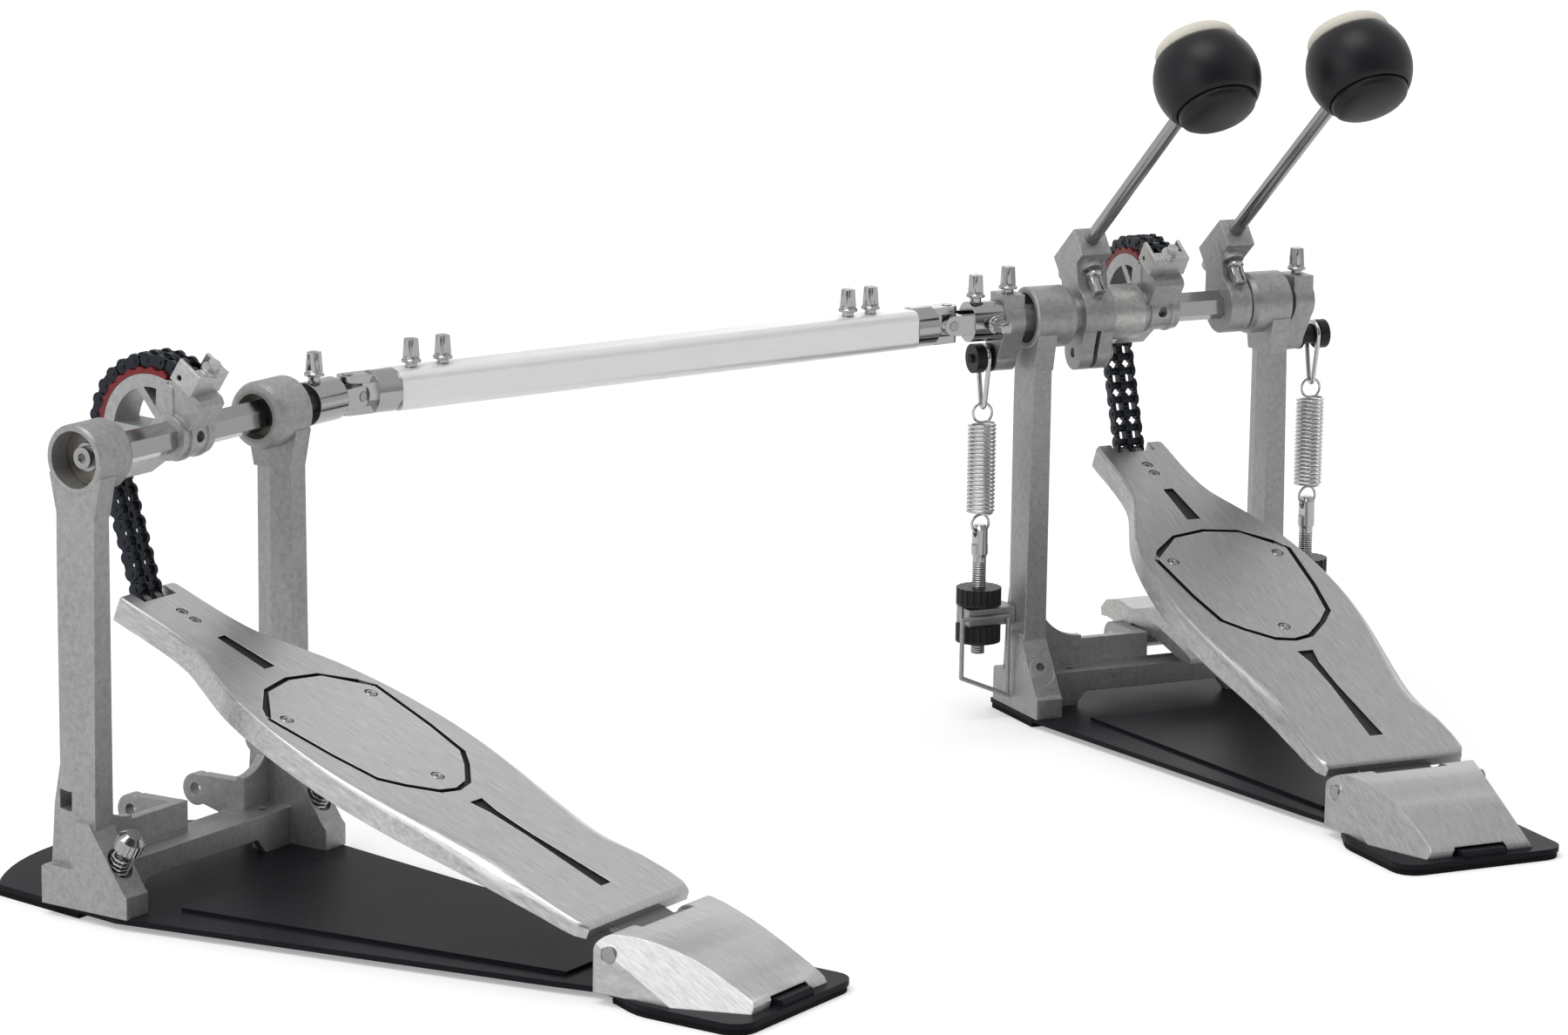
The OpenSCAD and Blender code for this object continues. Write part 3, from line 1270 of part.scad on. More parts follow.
// Hoop clamp: a curved claw that turns between the ears of the main frame
module hoop_clamp() {
  half = ear_gap / 2 - face_gap;
  tail_half = 9;
  color([0.74, 0.74, 0.74]) translate([ear_mid, 0, 0]) difference() {
    intersection() {
      along_x(-half, half) {
        polygon([[ear_y + 19, ear_z + 5], [ear_y + 20, ear_z + 8.5], [ear_y + 15, ear_z + 13],
          [ear_y + 4, ear_z + 15.5], [ear_y - 10, ear_z + 14], [ear_y - 26, ear_z + 9], [ear_y - 44, ear_z + 2.5],
          [ear_y - 50, ear_z - 0.5], [ear_y - 50, ear_z - 3], [ear_y - 42, ear_z - 2.6],
          [ear_y - 25, ear_z + 3], [ear_y - 9, ear_z + 7.6], [ear_y - 7, ear_z - 2], [ear_y + 7, ear_z - 2],
          [ear_y + 8, ear_z + 5], [ear_y + 14, ear_z + 5.5]]);
        translate([ear_y, ear_z]) circle(r = 6.2);
      }
      linear_extrude(far) polygon([[half, ear_y + 20], [-half, ear_y + 20], [-half, ear_y - 8],
        [-tail_half - 3, ear_y - 26], [-tail_half, ear_y - 50], [tail_half, ear_y - 50], [tail_half + 3, ear_y - 26],
        [half, ear_y - 8]]);
    }
    along_x(-40, 40) translate([ear_y, ear_z]) circle(d = ear_bore + 0.02);
    along_x(-half + 4, half - 4) translate([ear_y - 8, ear_z + 7]) rotate(-20) square([22, 2.4]);
  }
  color([0.60, 0.60, 0.60]) along_x(ear_mid - ear_gap / 2 - ear_t, ear_mid + ear_gap / 2 + ear_t)
    translate([ear_y, ear_z]) circle(d = ear_bore - 2 * run_gap);
}

frame_casting();  // main_frame
remote() frame_casting();  // remote_frame
union() {  // baseplates
  baseplate("main");
  remote() baseplate("remote");
}
union() {  // rubber_pads
  rubber_pad("main");
  remote() rubber_pad("remote");
}
bearings();
union() {  // heel_blocks
  heel_block();
  remote() heel_block();
}
for (side = [-1, 1]) spring_lug(side);  // spring_lugs
for (side = [-1, 1]) eye_bolt(side);  // eye_bolts
spring_nuts();
for (side = [-1, 1]) spur_spring(side);  // spur_springs
hoop_clamp();
spur(-1);  // left_spur
spur(1);  // right_spur
footboard();  // main_footboard
foot_plate();  // main_foot_plate
hinge_leaf();  // main_hinge_leaf
chain_anchor();  // main_chain_anchor
remote() footboard();  // remote_footboard
remote() foot_plate();  // remote_foot_plate
remote() hinge_leaf();  // remote_hinge_leaf
remote() chain_anchor();  // remote_chain_anchor
main_axle();
cam();  // main_cam
cam_strip();  // main_cam_strip
chain_clamp();  // main_chain_clamp
chain(joint_high, wrap_links);  // main_chain_wrap
beater_holder(right_beater_x, (hex_af + 0.04) / cos(30), -1, 6);  // right_beater_holder
rocker(1, journal_d + 0.04);  // right_rocker
roller(1);  // right_roller
beater_shaft(right_beater_x);  // right_beater_shaft
beater_head(right_beater_x);  // right_beater_head
beater_felt(right_beater_x);  // right_beater_felt
remote() remote_axle();
remote() cam();  // remote_cam
remote() cam_strip();  // remote_cam_strip
remote() chain_clamp();  // remote_chain_clamp
remote() chain(joint_high, wrap_links);  // remote_chain_wrap
remote_yoke();
chain(joint_low, joint_high);  // main_chain_upper
chain(0, joint_low);  // main_chain_middle
chain(-run_links, 0);  // main_chain_run
remote() chain(joint_low, joint_high);  // remote_chain_upper
remote() chain(0, joint_low);  // remote_chain_middle
remote() chain(-run_links, 0);  // remote_chain_run
remote() on_axle() translate([pivot_at, 0, 0]) spider();  // remote_spider
drive_tube();
tube_yokes();
on_axle() translate([-pivot_at, 0, 0]) spider();  // main_spider
left_sleeve();
left_yoke();
beater_holder(left_beater_x, sleeve_seat_d + 0.04, 1);  // left_beater_holder
rocker(-1, sleeve_d + 0.04);  // left_rocker
roller(-1);  // left_roller
beater_shaft(left_beater_x);  // left_beater_shaft
beater_head(left_beater_x);  // left_beater_head
beater_felt(left_beater_x);  // left_beater_felt
spring(-1);  // left_spring
spring(1);  // right_spring
wire_link(-1);  // left_link
wire_link(1);  // right_link
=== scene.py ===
"""Dresses the double bass drum pedal: finishes, small hardware, springs, beaters, light and camera."""

import logging
import math
from contextlib import contextmanager
from dataclasses import dataclass, field
from enum import Enum
from typing import Any, Iterable, Iterator, Sequence

import bpy
from mathutils import Matrix, Vector


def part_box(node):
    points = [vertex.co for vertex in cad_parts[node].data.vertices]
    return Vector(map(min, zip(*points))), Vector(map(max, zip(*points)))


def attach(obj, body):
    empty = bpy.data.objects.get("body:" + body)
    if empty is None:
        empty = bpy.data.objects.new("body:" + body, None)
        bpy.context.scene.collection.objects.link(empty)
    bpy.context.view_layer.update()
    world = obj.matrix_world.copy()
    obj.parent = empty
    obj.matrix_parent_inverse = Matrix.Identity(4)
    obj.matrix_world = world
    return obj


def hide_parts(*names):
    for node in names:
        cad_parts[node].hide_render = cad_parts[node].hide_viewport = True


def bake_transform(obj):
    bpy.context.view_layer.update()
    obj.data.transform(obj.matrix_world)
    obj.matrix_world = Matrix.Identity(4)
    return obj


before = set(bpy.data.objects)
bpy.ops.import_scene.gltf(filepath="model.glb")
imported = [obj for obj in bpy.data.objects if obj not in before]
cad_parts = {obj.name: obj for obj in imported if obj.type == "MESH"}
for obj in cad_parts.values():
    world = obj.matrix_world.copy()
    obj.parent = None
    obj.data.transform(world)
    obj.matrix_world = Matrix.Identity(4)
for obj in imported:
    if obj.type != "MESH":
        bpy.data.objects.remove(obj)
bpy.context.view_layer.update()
LOG = logging.getLogger("pedal")
MM = 0.001
Number = float | int
Thing = bpy.types.Object
Material = bpy.types.Material


def move(x: float, y: float, z: float) -> Matrix:
    """A move in millimetres."""
    return Matrix.Translation(Vector((x, y, z)) * MM)


@contextmanager
def editing() -> Iterator[None]:
    """Edit mode for the active object, and object mode again after it."""
    bpy.ops.object.mode_set(mode="EDIT")
    try:
        yield
    finally:
        bpy.ops.object.mode_set(mode="OBJECT")


class Pedal(Enum):
    """The two pedals of the set."""

    MAIN = "main"
    REMOTE = "remote"


class Side(Enum):
    """Left or right of the main pedal, as the sign of X."""

    LEFT = -1
    RIGHT = 1


# The finish is the same on both pedals. These factors are painted light and shade: the main pedal's colour is
# painted darker and the remote's lighter. These follow the picture, whose light differs between them.
BOARD_PAINTED_LIGHT = {Pedal.MAIN: 0.86, Pedal.REMOTE: 1.06}
HEEL_PAINTED_LIGHT = {Pedal.MAIN: 0.84, Pedal.REMOTE: 1.08}
# Where the two beaters stand along the axle, in millimetres.
BEATER_X = {Side.LEFT: -32.0, Side.RIGHT: 39.6}
# How far up a footboard its two toe screws stand, in millimetres.
TOE_SCREWS = (225, 232)


@dataclass(frozen=True)
class Stance:
    """Places and slopes that the dressing shares with the solids, in millimetres and degrees."""

    axle_height: float = 178.0
    remote_x: float = -482.4
    remote_y: float = -113.0
    remote_yaw: float = 31.6
    hinge_y: float = 226.3
    hinge_z: float = 19.4
    board_tilt: float = 20.26
    board_start: float = 12.3
    board_rise: float = 4.4
    pivot_x: float = 101.0
    beater_lean: float = 50.2
    beater_offset: float = 24.6

    def pedal(self, which: Pedal) -> Matrix:
        """The frame of one pedal, in metres."""
        if which is Pedal.MAIN:
            return Matrix.Identity(4)
        return move(self.remote_x, self.remote_y, 0) @ Matrix.Rotation(math.radians(self.remote_yaw), 4, "Z")

    def board(self, which: Pedal) -> Matrix:
        """The frame of a footboard: X across, Y up the board, Z square to its top face."""
        hinge = move(0, -self.hinge_y, self.hinge_z)
        slope = Matrix.Rotation(math.radians(self.board_tilt), 4, "X")
        return self.pedal(which) @ hinge @ slope @ move(0, self.board_start, self.board_rise)

    def beater(self, x: float) -> Matrix:
        """The frame of a beater: Z up its shaft, Y towards the felt."""
        lean = Matrix.Rotation(math.radians(self.beater_lean), 4, "X")
        return move(x, 0, self.axle_height) @ lean @ move(0, self.beater_offset, 0)

    def shaft(self) -> tuple[Matrix, float]:
        """The drive shaft's frame, with X along it from the remote joint, and its length in millimetres."""
        yaw = math.radians(self.remote_yaw)
        start = Vector((self.remote_x + self.pivot_x * math.cos(yaw),
                        self.remote_y + self.pivot_x * math.sin(yaw)))
        run = Vector((-self.pivot_x, 0)) - start
        place = move(start.x, start.y, self.axle_height)
        return place @ Matrix.Rotation(math.atan2(run.y, run.x), 4, "Z"), run.length


STANCE = Stance()


class Sock:
    """A shader socket on which Python's operators add Math nodes."""

    def __init__(self, graph: "Graph", socket: bpy.types.NodeSocket) -> None:
        """Keeps the socket and the graph that it belongs to."""
        self.graph = graph
        self.socket = socket

    def _math(self, operation: str, *values: Any) -> "Sock":
        """A Math node of one operation on these values."""
        return self.graph.add("ShaderNodeMath", {"operation": operation}, dict(enumerate(values)))

    def __add__(self, other: Any) -> "Sock":
        """Sum."""
        return self._math("ADD", self, other)

    __radd__ = __add__

    def __sub__(self, other: Any) -> "Sock":
        """Difference."""
        return self._math("SUBTRACT", self, other)

    def __rsub__(self, other: Any) -> "Sock":
        """Difference, reflected."""
        return self._math("SUBTRACT", other, self)

    def __mul__(self, other: Any) -> "Sock":
        """Product."""
        return self._math("MULTIPLY", self, other)

    __rmul__ = __mul__

    def __gt__(self, other: Any) -> "Sock":
        """One where this is the greater, else zero."""
        return self._math("GREATER_THAN", self, other)

    def __lt__(self, other: Any) -> "Sock":
        """One where this is the smaller, else zero."""
        return self._math("LESS_THAN", self, other)

    def __abs__(self) -> "Sock":
        """Size without its sign."""
        return self._math("ABSOLUTE", self)

    def smooth(self, low: Number, high: Number) -> "Sock":
        """A soft step from zero at low to one at high."""
        settings = {"interpolation_type": "SMOOTHSTEP"}
        return self.graph.add("ShaderNodeMapRange", settings,
                              {"Value": self, "From Min": low, "From Max": high})


class Graph:
    """Builds the nodes of one material."""

    def __init__(self, name: str) -> None:
        """Starts a material of that name with its shader only."""
        self.material = bpy.data.materials.new(name)
        self.material.use_nodes = True
        self.tree = self.material.node_tree
        self.shader = next(n for n in self.tree.nodes if n.type == "BSDF_PRINCIPLED")

    def add(self, kind: str, settings: dict[str, Any] | None = None, inputs: dict[Any, Any] | None = None,
            output: int | str = 0) -> Sock:
        """Adds one node.

        Args:
            kind: The node's type.
            settings: Its own settings, which are set first.
            inputs: Values or links of its sockets, by name or number.
            output: The output socket to hand back.

        Returns:
            The output socket.
        """
        node = self.tree.nodes.new(kind)
        for key, value in (settings or {}).items():
            setattr(node, key, value)
        for key, value in (inputs or {}).items():
            self.plug(node.inputs[key], value)
        return Sock(self, node.outputs[output])

    def plug(self, socket: bpy.types.NodeSocket, value: Any) -> None:
        """Links a socket or sets its value."""
        if isinstance(value, Sock):
            self.tree.links.new(value.socket, socket)
        elif isinstance(value, (tuple, list, Vector)) and len(value) == 3 and socket.type == "RGBA":
            socket.default_value = (*value, 1)
        else:
            socket.default_value = value

    def surface(self, **values: Any) -> None:
        """Sets or links the shader's sockets, with spaces written as underscores."""
        for key, value in values.items():
            self.plug(self.shader.inputs[key.replace("_", " ")], value)

    def place(self) -> Sock:
        """Object coordinates, in metres."""
        return self.add("ShaderNodeTexCoord", output="Object")

    def along(self, direction: Sequence[float], origin: Sequence[float] = (0, 0, 0)) -> Sock:
        """Distance along a direction from an origin, in millimetres."""
        shifted = self.add("ShaderNodeVectorMath", {"operation": "SUBTRACT"},
                           {0: self.place(), 1: tuple(origin)})
        scaled = tuple(1000 * c for c in Vector(direction).normalized())
        return self.add("ShaderNodeVectorMath", {"operation": "DOT_PRODUCT"},
                        {0: shifted, 1: scaled}, "Value")

    def noise(self, scale: Number, detail: Number = 3, vector: Sock | None = None,
              roughness: Number = 0.5) -> Sock:
        """Noise of a size, about one half."""
        inputs = {"Vector": vector or self.place(), "Scale": scale, "Detail": detail, "Roughness": roughness}
        return self.add("ShaderNodeTexNoise", None, inputs)

    def point(self, x: Any, y: Any, z: Any) -> Sock:
        """A vector from three numbers."""
        return self.add("ShaderNodeCombineXYZ", None, {0: x, 1: y, 2: z})

    def mix(self, factor: Any, first: Any, second: Any) -> Sock:
        """A colour between two others."""
        return self.add("ShaderNodeMix", {"data_type": "RGBA"}, {"Factor": factor, 6: first, 7: second}, 2)

    def tint(self, colour: Sequence[float], shade: Sock) -> Sock:
        """A colour made lighter or darker by a number about one."""
        return self.add("ShaderNodeVectorMath", {"operation": "SCALE"}, {0: tuple(colour), "Scale": shade})

    def rounded(self, radius: Number) -> Sock:
        """Normals that round each edge by a radius in millimetres."""
        return self.add("ShaderNodeBevel", {"samples": 6}, {"Radius": radius * MM})

    def bump(self, height: Sock, distance: Number, strength: Number = 1.0, edge: Number = 0.35) -> Sock:
        """Bumps of a height in millimetres, over rounded edges."""
        values = {"Height": height, "Distance": distance * MM, "Strength": strength,
                  "Normal": self.rounded(edge)}
        return self.add("ShaderNodeBump", None, values)

    def edge_mask(self, radius: Number) -> Sock:
        """About one on sharp edges and zero elsewhere."""
        plain = self.add("ShaderNodeNewGeometry", output="Normal")
        near = self.add("ShaderNodeVectorMath", {"operation": "DOT_PRODUCT"},
                        {0: self.rounded(radius), 1: plain}, "Value")
        return (1 - near).smooth(0.02, 0.25)


@dataclass(frozen=True)
class CastAlloy:
    """Bare die-cast alloy: mottled satin grey with a fine grain and brighter edges."""

    name: str = "cast_alloy"
    colour: tuple[float, float, float] = (0.39, 0.39, 0.39)
    rough: float = 0.40
    grain: float = 0.09
    edge: float = 0.6

    def build(self) -> Material:
        """Makes the material."""
        g = Graph(self.name)
        cloud = g.noise(38, 4)
        flow = g.noise(1, 5, g.point(g.along((1, 0, 0)) * 0.16, g.along((0, 1, 0)) * 0.16,
                                     g.along((0, 0, 1)) * 0.035))
        speck = g.noise(1500, 2)
        grit = g.noise(420, 3, roughness=0.7)
        shade = 0.37 + 0.22 * cloud + 0.14 * flow + 0.10 * speck + 0.85 * grit + 0.30 * g.edge_mask(0.7)
        g.surface(Base_Color=g.tint(self.colour, shade), Metallic=0.72,
                  Roughness=self.rough - 0.06 + 0.10 * cloud + 0.16 * grit,
                  Normal=g.bump(grit * 1.2 + cloud * 0.6, self.grain, 0.7, self.edge))
        return g.material


@dataclass(frozen=True)
class BrushedPlate:
    """Aluminium brushed along the board, black below its top face: a black inlay on the recess floors, and
    painted shade on the recess walls.
    """

    pedal: Pedal
    name: str = "brushed_plate"
    colour: tuple[float, float, float] = (0.56, 0.56, 0.56)
    recess: bool = True

    def build(self) -> Material:
        """Makes the material."""
        g = Graph(f"{self.name}_{self.pedal.value}")
        board = STANCE.board(self.pedal)
        origin = tuple(board.translation)
        across, up, out = (tuple(board.to_3x3().col[i]) for i in range(3))
        a, b, h = g.along(across, origin), g.along(up, origin), g.along(out, origin)
        hair = g.noise(1, 3, g.point(a * 2.4, b * 0.09, h * 0.6), 0.75)
        band = g.noise(1, 3, g.point(a * 0.9, b * 0.03, h * 0.3))
        cloud = g.noise(14, 2)
        shade = 0.24 + 1.15 * hair + 0.26 * band + 0.06 * cloud + 0.12 * g.edge_mask(0.5)
        rough = 0.20 + 0.24 * hair + 0.06 * cloud
        shield = (abs(a) < 34.2) * (b > 86) * (b < 160) + (abs(a) < 29) * (b > 159) * (b < 181)
        wide = shield + (abs(a) < 4.6) * (b > 15) * (b < 214)
        # Black below the top face in the slots and round the shield: a black inlay on the recess floors, and
        # painted shade on the recess walls.
        sunk = (h < -0.07) * (h > -2.0) * (wide > 0.5)
        # Without the recess floors, only the sides below the top face stay black: painted shade between plate
        # and board.
        if not self.recess:
            facing = g.add("ShaderNodeNewGeometry", output="Normal")
            level = g.add("ShaderNodeVectorMath", {"operation": "DOT_PRODUCT"}, {0: facing, 1: out}, "Value")
            sunk = sunk * (level < 0.7)
        # Painted light and shade: each pedal's board colour is scaled by its own factor.
        bright = g.tint(self.colour, shade * BOARD_PAINTED_LIGHT[self.pedal])
        g.surface(Base_Color=g.mix(sunk, bright, (0.010, 0.010, 0.011)), Metallic=0.9 - sunk * 0.9,
                  Roughness=rough + sunk * 0.25, Normal=g.bump(hair + band * 0.4, 0.03, 0.5, 0.4))
        return g.material


@dataclass(frozen=True)
class BrushedHeel:
    """Aluminium brushed crosswise, as on the heel blocks."""

    pedal: Pedal
    name: str = "brushed_heel"
    colour: tuple[float, float, float] = (0.56, 0.56, 0.56)

    def build(self) -> Material:
        """Makes the material."""
        g = Graph(f"{self.name}_{self.pedal.value}")
        across, up, _ = (tuple(STANCE.pedal(self.pedal).to_3x3().col[i]) for i in range(3))
        a, b, c = g.along(across), g.along(up), g.along((0, 0, 1))
        hair = g.noise(1, 3, g.point(a * 2.4, b * 0.09, c * 0.25), 0.75)
        cloud = g.noise(25, 3)
        shade = 0.36 + 1.05 * hair + 0.14 * cloud + 0.14 * g.edge_mask(0.6)
        # Painted light and shade: each pedal's heel colour is scaled by its own factor.
        g.surface(Base_Color=g.tint(self.colour, shade * HEEL_PAINTED_LIGHT[self.pedal]), Metallic=0.85,
                  Roughness=0.26 + 0.20 * hair + 0.08 * cloud, Normal=g.bump(hair, 0.02, 0.5, 0.7))
        return g.material


@dataclass(frozen=True)
class TurnedSteel:
    """Bright steel with fine turning lines round the X axis and faint smears."""

    name: str
    colour: tuple[float, float, float]
    rough: float = 0.16
    lines: float = 9.0
    metal: float = 1.0

    def build(self) -> Material:
        """Makes the material."""
        g = Graph(self.name)
        ring = g.noise(1, 2, g.point(g.along((1, 0, 0)) * self.lines, g.along((0, 1, 0)) * 0.3,
                                     g.along((0, 0, 1)) * 0.3))
        smear = g.noise(60, 3)
        shade = 0.90 + 0.10 * ring + 0.10 * smear
        g.surface(Base_Color=g.tint(self.colour, shade), Metallic=self.metal,
                  Roughness=self.rough + 0.10 * ring * smear + 0.05 * smear,
                  Normal=g.bump(ring, 0.006, 0.4, 0.3))
        return g.material


@dataclass(frozen=True)
class ThreadedRod:
    """Plated steel with a fine screw thread up the Z axis."""

    name: str = "threaded_rod"
    thread: float = 1.0

    def build(self) -> Material:
        """Makes the material."""
        g = Graph(self.name)
        wave = g.add("ShaderNodeMath", {"operation": "SINE"},
                     {0: g.along((0, 0, 1)) * (math.tau / self.thread)})
        low = g.along((0, 0, 1)) < 70
        ridge = 0.5 + 0.5 * wave * low
        # Painted highlight on the thread's crests and painted shade in its grooves: the colour follows the
        # same wave as the bump.
        g.surface(Base_Color=g.tint((0.62, 0.62, 0.62), 0.55 + 0.5 * ridge), Metallic=1.0, Roughness=0.22,
                  Normal=g.bump(ridge, 0.30, 0.9, 0.2))
        return g.material


@dataclass(frozen=True)
class BlackCoat:
    """Black coat with a fine orange-peel surface, for sheet, plastic and knobs."""

    name: str
    colour: tuple[float, float, float] = (0.020, 0.021, 0.023)
    rough: float = 0.42
    grain: float = 1400.0
    depth: float = 0.02
    edge: float = 0.35
    dust: float = 0.35
    sheen: float = 0.30

    def build(self) -> Material:
        """Makes the material."""
        g = Graph(self.name)
        peel = g.noise(self.grain, 3)
        cloud = g.noise(22, 4)
        shade = 0.82 + self.dust * cloud + 0.15 * peel + 0.5 * g.edge_mask(self.edge)
        g.surface(Base_Color=g.tint(self.colour, shade),
                  Roughness=self.rough - 0.05 + 0.12 * cloud + 0.06 * peel, Specular_IOR_Level=self.sheen,
                  Normal=g.bump(peel, self.depth, 0.6, self.edge))
        return g.material


@dataclass(frozen=True)
class OiledChain:
    """Blackened, oiled chain steel, bare where the plates rub."""

    name: str = "oiled_chain"

    def build(self) -> Material:
        """Makes the material."""
        g = Graph(self.name)
        film = g.noise(260, 4)
        rub = g.edge_mask(0.25) * g.noise(700, 2).smooth(0.35, 0.6)
        colour = g.mix(rub * 0.55, g.tint((0.030, 0.034, 0.042), 0.6 + 0.8 * film), (0.26, 0.27, 0.28))
        g.surface(Base_Color=colour, Metallic=0.85, Roughness=0.30 + 0.22 * film - 0.08 * rub,
                  Normal=g.bump(film, 0.015, 0.5, 0.25))
        return g.material


@dataclass(frozen=True)
class RedStrip:
    """Deep red moulded strip with a soft sheen and paler scuffs."""

    name: str = "red_strip"

    def build(self) -> Material:
        """Makes the material."""
        g = Graph(self.name)
        cloud = g.noise(120, 4)
        scuff = g.edge_mask(0.3) * cloud.smooth(0.4, 0.7)
        colour = g.mix(scuff * 0.5, g.tint((0.21, 0.006, 0.008), 0.75 + 0.5 * cloud), (0.40, 0.10, 0.09))
        g.surface(Base_Color=colour, Roughness=0.34 + 0.2 * cloud, Normal=g.bump(cloud, 0.02, 0.4, 0.25))
        return g.material


@dataclass(frozen=True)
class PressedFelt:
    """Cream pressed felt: matted fibres, soft shade and a napped surface."""

    name: str = "pressed_felt"

    def build(self) -> Material:
        """Makes the material."""
        g = Graph(self.name)
        bent = g.noise(180, 3)
        fibre = g.add("ShaderNodeTexNoise", None, {"Vector": g.place(), "Scale": 1300, "Detail": 5,
                                                   "Distortion": 2.2})
        cloud = g.noise(70, 3)
        shade = 0.84 + 0.16 * fibre + 0.10 * cloud
        g.surface(Base_Color=g.tint((0.86, 0.82, 0.71), shade), Roughness=0.92 + 0.06 * fibre,
                  Sheen_Weight=0.35, Normal=g.bump(fibre + bent * 0.7, 0.22, 0.8, 0.5))
        return g.material


class Shop:
    """The bench: mesh steps that every sub-assembly shares."""

    @staticmethod
    def clear() -> None:
        """Leaves edit mode and deselects everything."""
        if bpy.context.object and bpy.context.object.mode != "OBJECT":
            bpy.ops.object.mode_set(mode="OBJECT")
        bpy.ops.object.select_all(action="DESELECT")

    @staticmethod
    def only(obj: Thing) -> None:
        """Makes one object the selected and active one."""
        Shop.clear()
        obj.select_set(True)
        bpy.context.view_layer.objects.active = obj

    @staticmethod
    def seat(obj: Thing, place: Matrix) -> Thing:
        """Moves an object's mesh to its place, and leaves the object at the origin."""
        obj.data.transform(place @ obj.matrix_basis)
        obj.matrix_basis = Matrix.Identity(4)
        obj.data.update()
        return obj

    @staticmethod
    def copy(obj: Thing, name: str, place: Matrix) -> Thing:
        """A copy of a template with its own mesh, at a place."""
        twin = obj.copy()
        twin.data = obj.data.copy()
        twin.name = twin.data.name = name
        bpy.context.scene.collection.objects.link(twin)
        return Shop.seat(twin, place)

    @staticmethod
    def wire(points: Sequence[Sequence[float]]) -> Thing:
        """A line extruded point by point.

        Args:
            points: Its points in order, in millimetres.

        Returns:
            The line, open at its ends and without faces.
        """
        Shop.clear()
        bpy.ops.mesh.primitive_plane_add(size=MM, location=(0, 0, 0))
        obj = bpy.context.object
        with editing():
            bpy.ops.mesh.select_all(action="SELECT")
            bpy.ops.mesh.merge(type="CENTER")
            bpy.ops.transform.translate(value=Vector(points[0]) * MM)
            for here, there in zip(points, points[1:]):
                step = (Vector(there) - Vector(here)) * MM
                bpy.ops.mesh.extrude_vertices_move(TRANSFORM_OT_translate={"value": step})
        return obj

    @staticmethod
    def lathe(name: str, profile: Sequence[tuple[float, float]], steps: int = 48) -> Thing:
        """Turns a profile round the Z axis.

        Args:
            name: The new object's name.
            profile: Points as radius and height, in millimetres, from one end to the other.
            steps: Faces round the axis.

        Returns:
            The turned object with its faces outwards, closed where the profile starts and ends on the axis.
        """
        obj = Shop.wire([(r, 0, z) for r, z in profile])
        obj.name = obj.data.name = name
        with editing():
            bpy.ops.mesh.select_all(action="SELECT")
            bpy.ops.mesh.spin(steps=steps, angle=math.tau, center=(0, 0, 0), axis=(0, 0, 1),
                              use_auto_merge=True)
            bpy.ops.mesh.select_all(action="SELECT")
            bpy.ops.mesh.remove_doubles(threshold=0.004 * MM)
            bpy.ops.mesh.normals_make_consistent(inside=False)
        bpy.ops.object.shade_smooth_by_angle(angle=math.radians(32))
        return obj

    @staticmethod
    def ring(points: Sequence[Sequence[float]]) -> Thing:
        """A flat face whose outline is extruded point by point.

        Args:
            points: Places in millimetres, in order round the outline.

        Returns:
            The outline, closed and filled.
        """
        obj = Shop.wire(points)
        with editing():
            bpy.ops.mesh.select_all(action="SELECT")
            bpy.ops.mesh.edge_face_add()
        return obj

    @staticmethod
    def prism(name: str, outline: Sequence[Sequence[float]], depth: Sequence[float]) -> Thing:
        """A flat outline extruded into a solid.

        Args:
            name: The new object's name.
            outline: Places in millimetres round the outline.
            depth: The extrusion, in millimetres.

        Returns:
            The closed solid, with its faces outwards.
        """
        obj = Shop.ring(outline)
        obj.name = obj.data.name = name
        with editing():
            bpy.ops.mesh.select_all(action="SELECT")
            bpy.ops.mesh.extrude_region_move(TRANSFORM_OT_translate={"value": Vector(depth) * MM})
            bpy.ops.mesh.select_all(action="SELECT")
            bpy.ops.mesh.normals_make_consistent(inside=False)
        return obj

    @staticmethod
    def shell(name: str, rings: Sequence[Sequence[Sequence[float]]]) -> Thing:
        """A closed skin bridged from ring to ring, whose two end rings keep their faces.

        Args:
            name: The new object's name.
            rings: Outlines with equal numbers of points, in millimetres.

        Returns:
            The closed skin, with its faces outwards.
        """
        whole = Shop.join([Shop.ring(points) for points in rings], name)
        count = len(rings[0])
        for first in range(len(rings) - 1):
            Shop.pick(whole, range(first * count, (first + 2) * count))
            with editing():
                bpy.ops.mesh.bridge_edge_loops()
        with editing():
            bpy.ops.mesh.select_all(action="SELECT")
            bpy.ops.mesh.normals_make_consistent(inside=False)
        return whole

    @staticmethod
    def pick(obj: Thing, wanted: Iterable[int]) -> None:
        """Selects these vertices and the edges between them, and nothing else."""
        Shop.only(obj)
        with editing():
            bpy.ops.mesh.select_mode(type="VERT")
            bpy.ops.mesh.select_all(action="DESELECT")
        chosen = set(wanted)
        for vertex in obj.data.vertices:
            vertex.select = vertex.index in chosen

    @staticmethod
    def slice(obj: Thing, point: Sequence[float], normal: Sequence[float]) -> None:
        """Cuts away what lies beyond a plane, and closes the cut."""
        Shop.only(obj)
        with editing():
            bpy.ops.mesh.select_all(action="SELECT")
            bpy.ops.mesh.bisect(plane_co=Vector(point) * MM, plane_no=Vector(normal).normalized(),
                                use_fill=True, clear_outer=True)

    @staticmethod
    def box(low: Sequence[float], high: Sequence[float]) -> Thing:
        """A block between two corners, in millimetres."""
        Shop.clear()
        middle = (Vector(low) + Vector(high)) / 2 * MM
        bpy.ops.mesh.primitive_cube_add(size=1, location=middle)
        block = bpy.context.object
        block.scale = (Vector(high) - Vector(low)) * MM
        return Shop.seat(block, Matrix.Identity(4))

